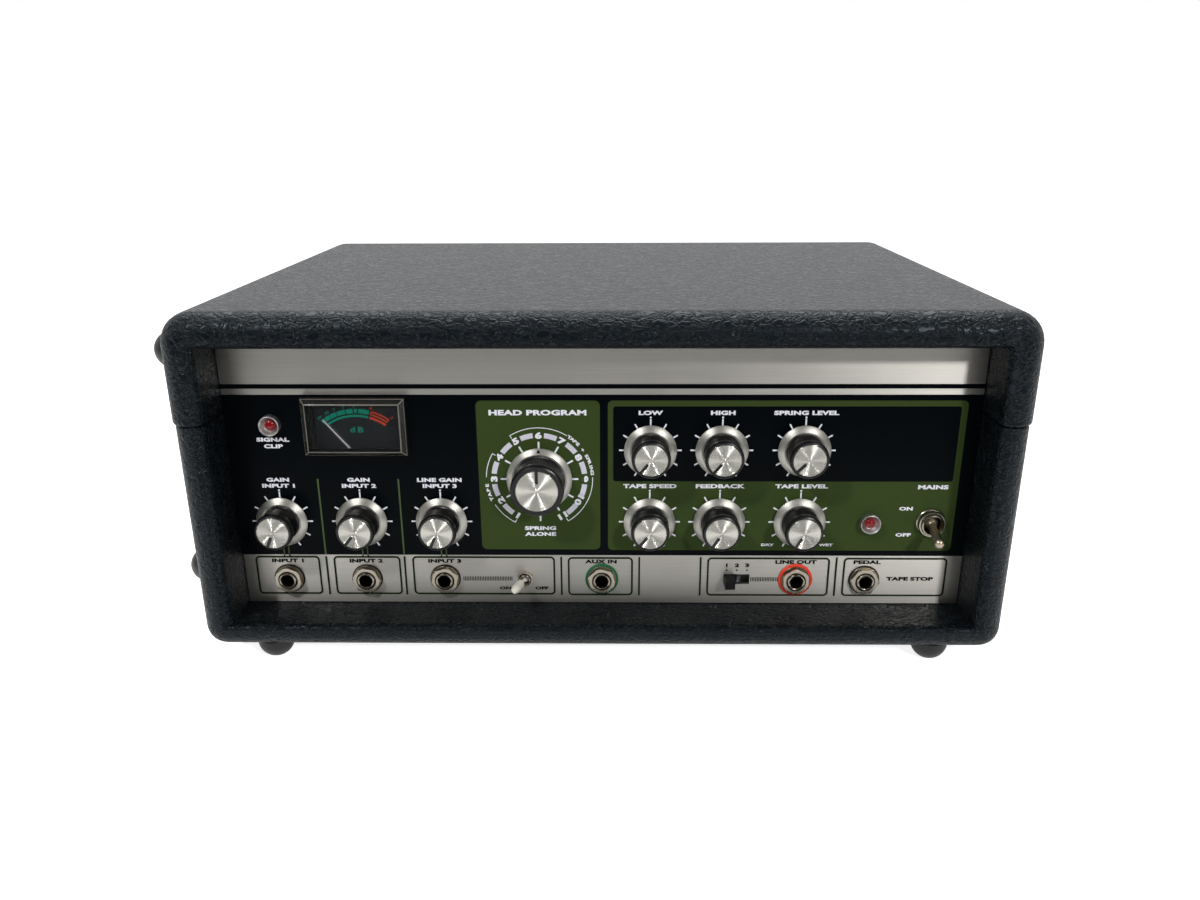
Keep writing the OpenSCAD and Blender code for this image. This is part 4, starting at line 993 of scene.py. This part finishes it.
def make_print():
    x, z = hub("selector_knob")
    flat = selector_marks(x, z)
    raised = selector_numbers(x, z)
    radius = sum(BRACKET_RING) / 2
    raised += arc_letters("TAPE", x, z, radius, -105.5, 5.4, 1.5)
    raised += arc_letters("TAPE + SPRING", x, z, radius, 59, 4.0, 1.5)
    names = list(POINTERS)
    first = hub(names[0])
    ticks = knob_ticks(*first)
    flat.append(ticks)
    flat += [copied(ticks, panel_move(first, hub(name))) for name in names[1:]]
    flat += [outline(*box, line=1.0, corner=2.4, finish="dark_green_ink") for box in BOXES]
    for x in DIVIDERS + COLUMN_LINES:
        flat.append(span_plate(x - 0.5, x + 0.5, DIVIDER_LOW, DIVIDER_HIGH, "dark_green_ink"))
    for x in COLUMN_LINES:
        flat.append(span_plate(x - 0.42, x + 0.42, STRIP_TOP, COLUMN_TOP, "pale_green_ink"))
    for name in names[:3]:
        x, z = hub(name)
        for side in (-1, 1):
            left = x + side * 1.3 - 0.3
            flat.append(span_plate(left, left + 0.6, STRIP_TOP, z - 13, "pale_green_ink"))
            flat.append(band(x + side * 2.8, 53.1, 1.2, 1.85, -90 * side, -180 * side, "dark_ink"))
    flat += hatch(-73.2, -47.5, JACK_Z, count=30)
    flat += hatch(79.6, 93.6, JACK_Z, count=17)
    flat += [plate(x, 44.6, 0.9, 0.9, "dark_ink", corner=0.35) for x in RANGE_X]
    raised += [letters(*word, "white_ink") for word in WHITE_WORDS]
    raised += [letters(*word, "dark_ink") for word in DARK_WORDS]
    sheet = join("panel_marks", flat)
    thicken(sheet)
    seat(sheet, "case", "white_plastic")
    seat(join("panel_lettering", raised), "case", "white_plastic")


# ---------------------------------------------------------------- knobs

def knurl(piece, centre, columns, rows, zone, radius, depth, diamond):
    """Presses every other point of the knurled zone inwards, by column or as a chequer."""
    low, high = zone

    def pressed(place):
        flat = Vector((place.x - centre.x, 0, place.z - centre.z))
        out = (FACE_Y - place.y) / MM
        if abs(flat.length / MM - radius) > 0.05 or not low - 0.01 <= out <= high + 0.01:
            return False
        column = round(math.atan2(flat.z, flat.x) / TURN * columns)
        row = round((out - low) / (high - low) * rows)
        return (column + (row if diamond else 0)) % 2 == 0

    pick(piece, "VERT", pressed)
    bpy.ops.transform.shrink_fatten(value=-depth * MM)
    done()


def turned_knob(name, grip, cap, columns, rows, diamond):
    """A turned metal skirt, a knurled black grip and a spun cap, without its pointer."""
    low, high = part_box(name)
    skirt = (high.x - low.x) / 2 / MM
    top = front_of(name)
    centre = spot(*hub(name))
    waist = grip - 0.4
    zone = (4.2, top - 4.6)
    metal = [(grip - 1, 1.0), (skirt - 0.3, 1.0), (skirt, 1.3), (skirt, 1.8), (skirt - 0.25, 2.1),
             (grip + 1.9, 3.1), (grip + 0.75, 3.65), (grip + 0.45, 3.6), (grip + 0.3, 3.3),
             (grip - 1, 3.3), (grip - 1, 1.0)]
    levels = [zone[0] + (zone[1] - zone[0]) * i / rows for i in range(rows + 1)]
    black = [(0, 3.2), (grip - 0.2, 3.2), (grip, 3.5), (grip - 0.15, 3.9)]
    black += [(waist, h) for h in levels]
    black += [(grip, zone[1] + 0.5), (grip + 0.2, zone[1] + 1.6), (grip + 0.1, top - 1.2),
              (grip - 0.35, top - 0.45), (grip - 0.9, top - 0.15), (cap + 0.15, top - 0.2),
              (cap + 0.1, top - 0.7), (0, top - 0.7)]
    body = lathe("grip", centre, black, "black_phenolic", columns)
    knurl(body, centre, columns, rows, zone, waist, depth=0.42, diamond=diamond)
    smooth(body, 25)
    disc = [(0, top - 0.9), (cap, top - 0.9), (cap, top - 0.25), (cap - 0.3, top),
            (cap * 0.5, top - 0.03), (0, top - 0.05)]
    return join("knob", [lathe("skirt", centre, metal, "turned_aluminium", 64), body,
                         lathe("cap", centre, disc, "spun_aluminium", 64)])


def pointer_line(name, inner, outer, width):
    """The black line on a knob's cap, from near its middle to its rim, upright."""
    x, z = hub(name)
    middle = z + (inner + outer) / 2
    line = plate(x, middle, width, outer - inner, "black_phenolic", front_of(name), corner=0.25)
    apply(line, "SOLIDIFY", thickness=0.12 * MM, offset=0.0)
    return line


def make_knobs():
    first = "input_1_knob"
    model = turned_knob(first, grip=9.6, cap=8.2, columns=96, rows=10, diamond=True)
    line = pointer_line(first, inner=2.6, outer=8.4, width=1.6)
    for name, angle in POINTERS.items():
        shift = panel_move(hub(first), hub(name))
        pieces = [copied(model, shift), copied(line, shift, angle, spot(*hub(name)))]
        seat(join(name + "_turned", pieces), name, "knob", name)
    for spare in (model, line):
        bpy.data.objects.remove(spare)
    name = "selector_knob"
    knob = turned_knob(name, grip=13.3, cap=10.6, columns=168, rows=2, diamond=False)
    line = pointer_line(name, inner=4.0, outer=10.8, width=1.5)
    seat(join(name + "_turned", [knob, line]), "selector", "knob", name)
    x, z = hub(name)
    arrow_z = z + 15.7
    mark = plate(x, arrow_z, 1.9, 1.8, "black_phenolic", 2.8)
    pick(mark, "VERT", lambda place: place.z > arrow_z * MM)
    bpy.ops.mesh.merge(type="CENTER")
    done()
    mark.name = "selector_arrow"
    apply(mark, "SOLIDIFY", thickness=1.0 * MM, offset=0.0)
    seat(mark, "selector", "knob")


# ---------------------------------------------------------------- sockets and switches

def hex_nut(centre, flats, hole, low, high):
    """A nut: a six-sided block with its outer corners turned off and its hole countersunk."""
    deselect()
    middle = centre + OUT * (low + high) / 2 * MM
    bpy.ops.mesh.primitive_cylinder_add(
        vertices=6, radius=flats / math.sqrt(3) * MM, depth=(high - low) * MM, location=middle,
        rotation=(TURN / 4, 0, 0))
    nut = settle("nut", "aged_nickel")
    reach = flats / 2 + 0.35
    turned = [(0, low - 1), (reach + 1.6, low - 1), (reach + 1.6, high - 0.8), (reach, high),
              (reach - 0.3, high + flats), (0, high + flats)]
    cut_out(nut, lathe("cutter", centre, turned, "aged_nickel"), "INTERSECT")
    bore = [(0, low - 1), (hole, low - 1), (hole, high - 0.5), (hole + 0.6, high + 0.1),
            (hole + 0.6, high + 1), (0, high + 1)]
    cut_round(nut, centre, bore)
    smooth(nut, 25)
    return nut


def moulded_body(centre, low, high, edge, bore, steps=40):
    """A switch's or socket's body between two corners in mm from centre, with a round bore."""
    shell = block("shell", centre + Vector(low) * MM, centre + Vector(high) * MM)
    ease(shell, edge)
    cut_round(shell, centre, bore, steps)
    return shell


def jack_socket(centre):
    """A barrel with a rolled mouth, its moulded body and the contact in its bore."""
    barrel = [(3.25, -26.0), (3.25, 4.1), (3.45, 4.6), (3.9, 4.8), (4.35, 4.7), (4.7, 4.3),
              (4.7, -2.9), (4.2, -3.0), (4.2, -26.2), (3.25, -26.0)]
    tube = lathe("barrel", centre, barrel, "aged_nickel", 40)
    bore = [(0, 3), (4.25, 3), (4.25, -26.2), (0, -26.2)]
    shell = moulded_body(centre, (-8, 2.0, -10.5), (8, 33, 10.5), 0.6, bore)
    low = centre + Vector((-1.2, 13, 1.4)) * MM
    spring = block("spring", low, low + Vector((2.4, 12, 0.4)) * MM, "aged_nickel")
    ease(spring, 0.15)
    return join("socket", [tube, shell, spring])


def make_jacks():
    """Each jack's nut is left at the angle to which it was tightened."""
    places = [((m["pos_m"][0] - MID_X) / MM, m["pos_m"][2] / MM)
              for m in frame["record"]["mounts"] if "jack" in m["name"]]
    centre = spot(*places[0])
    hole = 4.75
    washer_section = ring_profile(hole, 7.65, 0.82, 1.4, 0.15)
    socket = jack_socket(centre)
    washer = lathe("washer", centre, washer_section, "dark_brown_nickel")
    nut = hex_nut(centre, flats=13.2, hole=hole, low=1.42, high=3.6)
    ring = lathe("ring", centre, ring_profile(hole, 8.1, 0.0, 0.8, 0.25), "black_abs")
    groups = {"jack_sockets": [], "jack_washers": [], "jack_nuts": [], "jack_rings_black": []}
    for place, turn in zip(places, (7, 22, -11, 14, 3, 26)):
        shift = panel_move(places[0], place)
        groups["jack_sockets"].append(copied(socket, shift))
        groups["jack_washers"].append(copied(washer, shift))
        groups["jack_nuts"].append(copied(nut, shift, turn, spot(*place)))
        if all(abs(hub(other)[0] - place[0]) > 1 for other in ("jack_ring_green", "jack_ring_red")):
            groups["jack_rings_black"].append(copied(ring, shift))
    for spare in (socket, washer, nut, ring):
        bpy.data.objects.remove(spare)
    slots = {"jack_sockets": "steel", "jack_washers": "chrome", "jack_nuts": "chrome",
             "jack_rings_black": "black_plastic"}
    for node, slot in slots.items():
        seat(join(node + "_turned", groups[node]), "case", slot, node)
    for node, radius, finish, slot in (("jack_ring_green", 8.8, "green_abs", "green_plastic"),
                                       ("jack_ring_red", 9.05, "red_abs", "red_plastic")):
        section = ring_profile(hole, radius, 0.0, 0.8, 0.25)
        seat(lathe(node + "_turned", spot(*hub(node)), section, finish), "case", slot, node)


def make_power_toggle():
    """A bat lever in a round bushing, with a knurled nut."""
    centre = spot(*hub("power_nut"))
    flutes = 120
    ring = [(6.05, 0.1), (7.4, 0.1), (7.6, 0.4), (7.6, 1.1), (7.3, 1.4), (7.1, 1.6), (7.1, 3.2),
            (6.7, 3.9), (6.05, 4.0), (6.05, 0.1)]
    nut = lathe("power_nut_turned", centre, ring, "aged_nickel", flutes)
    pick(nut, "VERT", lambda p: 1.5 < (FACE_Y - p.y) / MM < 3.3 and (p - centre).length > 6.9 * MM
         and round(math.atan2(p.z - centre.z, p.x - centre.x) / TURN * flutes) % 2 == 0)
    bpy.ops.transform.shrink_fatten(value=-0.2 * MM)
    done()
    smooth(nut, 25)
    seat(nut, "case", "chrome", "power_nut")
    bush = [(4.35, -2), (4.35, 3.9), (4.5, 4.9), (5.0, 5.5), (5.6, 5.3), (6.0, 4.6), (6.0, -2),
            (4.35, -2)]
    collar = lathe("collar", centre, bush, "aged_nickel", 64)
    bore = [(0, 1), (4.3, 1), (4.3, -4.3), (0, -4.3)]
    shell = moulded_body(centre, (-9, 2, -14), (9, 26, 14), 0.8, bore)
    seat(join("power_switch_body", [collar, shell]), "case", "steel", "power_switch")
    tilt = math.radians(15.6)
    axis = Vector((0, -math.cos(tilt), -math.sin(tilt)))
    arm = [(0, -3.9), (2.0, -3.4), (3.3, -2.1), (3.9, -0.6), (3.9, 0.6), (3.3, 2.1), (2.6, 3.0),
           (2.1, 3.8), (2.0, 4.6), (2.05, 8), (2.3, 12), (2.55, 15.6), (2.5, 15.9), (2.65, 16.1),
           (2.9, 17.0), (2.9, 18.2), (2.5, 19.4), (1.6, 20.2), (0.7, 20.4), (0, 20.4)]
    lever = lathe("power_bat_lever", centre, arm, "rubbed_nickel", 40, axis)
    seat(lever, "power_toggle", "chrome", "power_lever")


def make_small_toggle():
    """An ivory-capped lever in a small bushing with a six-sided nut."""
    centre = spot(hub("mini_switch")[0], JACK_Z)
    nut = hex_nut(centre, flats=8, hole=3.05, low=0.0, high=1.8)
    collar = [(2.35, -2), (2.35, 3.1), (2.5, 3.6), (2.8, 3.5), (3.0, 3.1), (3.0, -2), (2.35, -2)]
    bush = lathe("bush", centre, collar, "aged_nickel", 40)
    bore = [(0, 1), (2.32, 1), (2.32, -2.4), (0, -2.4)]
    shell = moulded_body(centre, (-6.5, 2, -4), (6.5, 12, 4), 0.5, bore, 32)
    seat(join("small_toggle_body", [nut, bush, shell]), "case", "steel", "mini_switch")
    tilt = math.radians(16)
    axis = Vector((-math.sin(tilt), -math.cos(tilt), 0))
    arm = [(0, -1.9), (1.3, -1.4), (1.9, -0.3), (1.8, 0.8), (1.2, 1.7), (0.75, 2.3), (0.8, 5.6),
           (1.9, 6.3), (2.15, 7.2), (2.3, 13.4), (2.1, 15.2), (1.4, 16.2), (0, 16.5)]
    lever = lathe("small_bat_lever", centre, arm, "ivory_abs", 32, axis)
    seat(lever, "small_toggle", "white_plastic", "mini_lever")


def make_slide_button():
    """A square button with a dished end, on a carrier behind the slot."""
    low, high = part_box("slide_button")
    x, z = hub("slide_button")
    middle = Vector((MID_X + x * MM, 0, z * MM))
    button = block("button", (middle.x - 2.6 * MM, low.y, middle.z - 2.5 * MM),
                   (middle.x + 2.6 * MM, FACE_Y + 4 * MM, middle.z + 2.5 * MM))
    pick(button, "FACE", lambda place, normal: normal.y < -0.5)
    bpy.ops.mesh.inset(thickness=0.35 * MM, depth=0.25 * MM)
    bpy.ops.mesh.inset(thickness=0.2 * MM, depth=-0.3 * MM)
    done()
    carrier = block("carrier", (low.x, FACE_Y + 2.3 * MM, low.z), (high.x, FACE_Y + 5.3 * MM, high.z))
    ease(carrier, 0.3)
    whole = join("slide_button_moulded", [button, carrier])
    seat(whole, "range_slider", "black_plastic", "slide_button")


# ---------------------------------------------------------------- meter and lamps

PIVOT = Vector(next(j for j in frame["joints"] if j["child"] == "needle")["pos_m"])
NEEDLE_REST = 40
# The printed scale: its middle from the pivot and its radii in mm, and its angles from the top
SCALE_SHIFT = (-1.0, -2.6)
THICK_ARC = (27.0, 29.2)
THIN_ARC = (25.1, 26.1)
TEAL_BLOCKS = ((-37.6, -34), (-33.2, -27.6), (-26.8, -20.2), (-19.1, -10.4), (-9.4, -2.6), (-1, 2),
               (3.5, 14.5))
TEAL_FROM, TEAL_TO = -36.2, 14.5
ORANGE_FROM, ORANGE_TO = 16.0, 36.3
TEAL_NUMBERS = (("20", -37), ("10", -28), ("7", -20), ("5", -11), ("3", -1))
ORANGE_NUMBERS = (("0", 15.5), ("3", 37))


def make_meter_window():
    """A clear box with bevelled edges, hollow behind."""
    low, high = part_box("meter_cover")
    cover = block("meter_window", low, high, "clear_acrylic")
    slope = 2.4 * MM
    pick(cover, "FACE", lambda place, normal: normal.y < -0.5)
    bpy.ops.mesh.inset(thickness=slope, depth=0)
    done()
    pick(cover, "VERT", lambda p: same(p.y, low.y)
         and (same(p.x, low.x) or same(p.x, high.x) or same(p.z, low.z) or same(p.z, high.z)))
    bpy.ops.transform.translate(value=(0, slope, 0))
    done()
    # The sloped sides and bevelled edges get grey finishes: a painted reflection and a painted highlight.
    for finish in ("acrylic_slope_painted_reflection", "acrylic_edge_painted_highlight"):
        cover.data.materials.append(FINISH[finish])
    pick(cover, "FACE", lambda place, normal: abs(normal.y) < 0.9)
    cover.active_material_index = 1
    bpy.ops.object.material_slot_assign()
    done()
    pick(cover, "EDGE", lambda a, b: a.y < high.y - NEAR and b.y < high.y - NEAR)
    bpy.ops.mesh.bevel(offset=0.35 * MM, segments=2, affect="EDGES", material=2)
    done()
    front_wall, top_wall = 1.5 * MM, 2 * MM
    cut_box(cover, (low.x + METER_RIM, low.y + front_wall, low.z + top_wall),
            (high.x - METER_RIM, high.y + OVER, high.z - top_wall))
    seat(cover, "case", "clear", "meter_cover")


def make_meter_scale():
    """Two printed arcs round the needle's pivot, teal and then orange, with plain numbers."""
    x, z = (PIVOT.x - MID_X) / MM + SCALE_SHIFT[0], PIVOT.z / MM + SCALE_SHIFT[1]
    out = front_of("meter_dial") + 0.04
    low, high = THICK_ARC
    line, line_angle = 0.6, 1.2
    marks = [band(x, z, low, high, a0, a1, "teal_ink", out) for a0, a1 in TEAL_BLOCKS]
    marks.append(band(x, z, *THIN_ARC, TEAL_FROM, TEAL_TO, "teal_ink", out))
    marks.append(band(x, z, *THIN_ARC, ORANGE_FROM, ORANGE_TO, "orange_ink", out))
    marks += [band(x, z, r, r + line, ORANGE_FROM, ORANGE_TO, "orange_ink", out)
              for r in (low, high - line)]
    marks += [band(x, z, low, high, a, a + line_angle, "orange_ink", out)
              for a in (ORANGE_FROM, ORANGE_TO - line_angle)]
    plates = join("meter_scale", marks)
    thicken(plates)
    thin = 0.01
    words = []
    for numbers, finish in ((TEAL_NUMBERS, "teal_ink"), (ORANGE_NUMBERS, "orange_ink")):
        for number, angle in numbers:
            px, pz = clockwise(x, z, high + 1.5, angle)
            words.append(letters(number, px, pz, 1.3, finish, 1.2, angle, out, thin))
    words += [letters(word, x + side * 2.1, z + 18.3, 2.7, "teal_ink", 1.4, 0, out, thin)
              for word, side in (("d", -1), ("B", 1))]
    seat(join("meter_scale", [plates] + words), "case", "dial")


def make_needle():
    """A tapered white pointer on its hub."""
    out = front_of("meter_needle")
    tilt = math.radians(NEEDLE_REST)
    way = Vector((-math.sin(tilt), 0, math.cos(tilt)))
    centre = Vector((PIVOT.x, FACE_Y - (out - 0.2) * MM, PIVOT.z))
    length = 27.4
    deselect()
    bpy.ops.mesh.primitive_cube_add(size=1, location=centre + way * length / 2 * MM,
                                    rotation=(0, -tilt, 0))
    bpy.context.object.scale = (0.8 * MM, 0.3 * MM, length * MM)
    arm = settle("arm", "white_ink")
    pick(arm, "VERT", lambda p: (p - centre).length > 20 * MM)
    bpy.ops.transform.resize(value=(0.55, 1, 0.55), center_override=centre + way * length * MM)
    done()
    pin = [(0, -9.5), (0.8, -9.5), (0.8, -0.3), (1.6, -0.2), (1.6, 0.15), (1.0, 0.3), (0, 0.3)]
    pieces = [arm, lathe("pin", centre, pin, "black_abs", 24)]
    seat(join("needle_arm", pieces), "needle", "white_plastic", "meter_needle")


def make_lamps():
    """Two chrome cups, each with a red dome at its bottom."""
    low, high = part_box("lamp_bezels")
    radius = 5.25
    x, z = (low.x - MID_X) / MM + radius, high.z / MM - radius
    centre = spot(x, z)
    cup = [(2.5, -2.0), (4.0, -2.0), (4.0, 0.0), (4.9, 0.05), (5.2, 0.5), (5.25, 3.9), (5.1, 4.4),
           (4.9, 4.5), (4.7, 4.35), (4.2, 3.2), (3.5, 2.1), (2.7, 1.35), (2.5, 1.3), (2.5, -2.0)]
    dome = [(0, -2.0), (2.4, -2.0), (2.4, 1.3), (2.7, 1.5), (2.6, 2.1), (2.2, 2.7), (1.6, 3.1),
            (0.8, 3.35), (0, 3.4)]
    bezel = lathe("cup", centre, cup, "satin_chrome", 64)
    lens = lathe("lens", centre, dome, "red_lens_plastic", 40)
    to_power = Vector((high.x - low.x - 2 * radius * MM, 0, low.z - high.z + 2 * radius * MM))
    seat(join("lamp_cups", [bezel, copied(bezel, to_power)]), "case", "chrome", "lamp_bezels")
    seat(join("lamp_domes", [lens, copied(lens, to_power)]), "case", "red_lens", "lamp_lenses")


# ---------------------------------------------------------------- back

def middle_at(node, y):
    """The middle of a CAD node, moved to a plane at y, in metres."""
    low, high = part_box(node)
    return Vector(((low.x + high.x) / 2, y, (low.z + high.z) / 2))


def make_back():
    """The cord's gland, the fuse cap and the rear plate's screws."""
    low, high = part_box("rear_panel")
    centre = middle_at("cord_gland", high.y)
    collar = [(3.6, -7), (3.6, 9), (4.6, 9), (5.2, 8.4)]
    for h in (7.6, 5.8, 4.0):
        collar += [(5.6, h), (5.6, h - 0.7), (5.0, h - 0.9), (5.2, h - 1.7)]
    collar += [(8, 2.0), (8, 0.3), (7.7, 0), (6.5, 0), (6.5, -7), (3.6, -7)]
    gland = lathe("cord_gland_moulded", centre, collar, "moulded_rubber", 48, BACK)
    seat(gland, "case", "black_plastic", "cord_gland")
    centre = middle_at("fuse_holder", high.y)
    steps = 64
    cap = [(0, -28), (6, -28), (6, 0), (7.6, 0), (8, 0.4), (8, 1.6), (7.6, 2), (6, 2), (5.9, 7.2),
           (5.4, 8), (4.4, 8), (4.2, 7.4), (0, 7.4)]
    fuse = lathe("fuse_cap_moulded", centre, cap, "black_phenolic", steps, BACK)
    pick(fuse, "VERT", lambda p: 1.9 < (p.y - high.y) / MM < 7.5 and 5.8 < Vector(
        (p.x - centre.x, p.z - centre.z)).length / MM < 6.1
        and round(math.atan2(p.z - centre.z, p.x - centre.x) / TURN * steps) % 4 == 0)
    bpy.ops.transform.shrink_fatten(value=-0.6 * MM)
    done()
    slot = Vector((3.5, 1.2, 0.6)) * MM
    middle = Vector((centre.x, high.y + 7.8 * MM, centre.z))
    cut_box(fuse, middle - slot, middle + slot)
    smooth(fuse, 30)
    seat(fuse, "case", "black_plastic", "fuse_holder")
    head = [(0, -0.2), (3.2, -0.2), (3.2, 0.3), (2.4, 1.2), (1.2, 1.6), (1.0, 0.9), (0, 0.9)]
    inset = 12 * MM
    corner = Vector((low.x + inset, high.y, low.z + inset))
    first = lathe("screw", corner, head, "zinc_plate", 24, BACK)
    across = (high.x - low.x) / 2 - inset
    rise = high.z - low.z - 2 * inset
    screws = [first] + [copied(first, Vector((across * i, 0, rise * j)))
                        for i in (0, 1, 2) for j in (0, 1) if i or j]
    seat(join("rear_screws", screws), "case", "steel")


# ---------------------------------------------------------------- carried-over nodes

CARRIED = {
    "lid_catches": "ground_steel", "rear_panel": "stove_enamel", "front_panel": "brushed_aluminium",
    "chassis": "zinc_plate", "transport_deck": "brushed_aluminium", "pots": "zinc_plate",
    "selector_switch": "zinc_plate", "slide_switch": "zinc_plate", "meter_case": "black_abs",
    "meter_dial": "meter_card", "tape_bin": "black_abs", "tape_bin_cover": "clear_acrylic",
    "tape_loop": "oxide_tape", "tape_guides": "ground_steel", "head_block": "ground_steel",
    "heads": "ground_steel", "capstan": "ground_steel", "capstan_bearing": "turned_brass",
    "motor": "zinc_plate", "motor_pulley": "turned_brass", "drive_belt": "moulded_rubber",
    "pinch_arm": "zinc_plate", "pinch_roller": "moulded_rubber", "solenoid": "wrapped_coil",
    "plunger": "ground_steel", "electronics": "circuit_board",
}


def finish_carried():
    for name, finish in CARRIED.items():
        for slot in frame["nodes"][name].material_slots:
            slot.material = FINISH[finish]


# ---------------------------------------------------------------- ground

FLOOR_SIZE = 12
FLOOR_FRONT = -0.45
FLOOR_GLOW = 0.86
FLOOR_IN_METAL = 0.45


def make_ground():
    """A pale table top that runs far back: it glows just enough to be the white background, also
    in metal and glass, and keeps the object's soft shadow."""
    deselect()
    bpy.ops.mesh.primitive_plane_add(size=FLOOR_SIZE, location=(0, FLOOR_SIZE / 2 + FLOOR_FRONT, 0))
    floor = bpy.context.object
    floor.name = "studio_floor"
    made, shader, where = surface("matt_white_table", "#f4f4f4", 0.9, Emission_Color=(1, 1, 1, 1))
    noise = add_node(made, "TexNoise", {"Vector": where, "Scale": scale_for(333)})
    vary(made, shader, noise.outputs["Fac"], ("#f1f1f1", "#f7f7f7"), (0.85, 0.95))
    camera, shiny = ray_kinds(made)
    mirrored_part = add_node(made, "Math", {0: shiny, 1: FLOOR_IN_METAL}, operation="MULTIPLY")
    seen = add_node(made, "Math", {0: camera, 1: mirrored_part.outputs[0]}, operation="MAXIMUM")
    glow = add_node(made, "Math", {0: seen.outputs[0], 1: FLOOR_GLOW}, operation="MULTIPLY")
    feed(made, shader, "Emission Strength", glow.outputs[0])
    floor.data.materials.append(made)


add_camera()
add_world()
add_lamp("key_right", (0.459, -0.78, 0.427), far=1.6, width=0.12, height=0.12, power=10)
add_lamp("key_left", (-0.474, -0.56, 0.68), far=1.6, width=0.12, height=0.12, power=10)
add_lamp("softbox_above", (0, 0.5, 1), far=1.5, width=1.6, height=0.9, power=20)
make_ground()
make_base()
make_lid()
make_feet()
make_handle()
make_brackets()
make_fields()
make_print()
make_knobs()
make_jacks()
make_power_toggle()
make_small_toggle()
make_slide_button()
make_meter_window()
make_meter_scale()
make_needle()
make_lamps()
make_back()
finish_carried()

bpy.context.scene.view_settings.view_transform = "Standard"
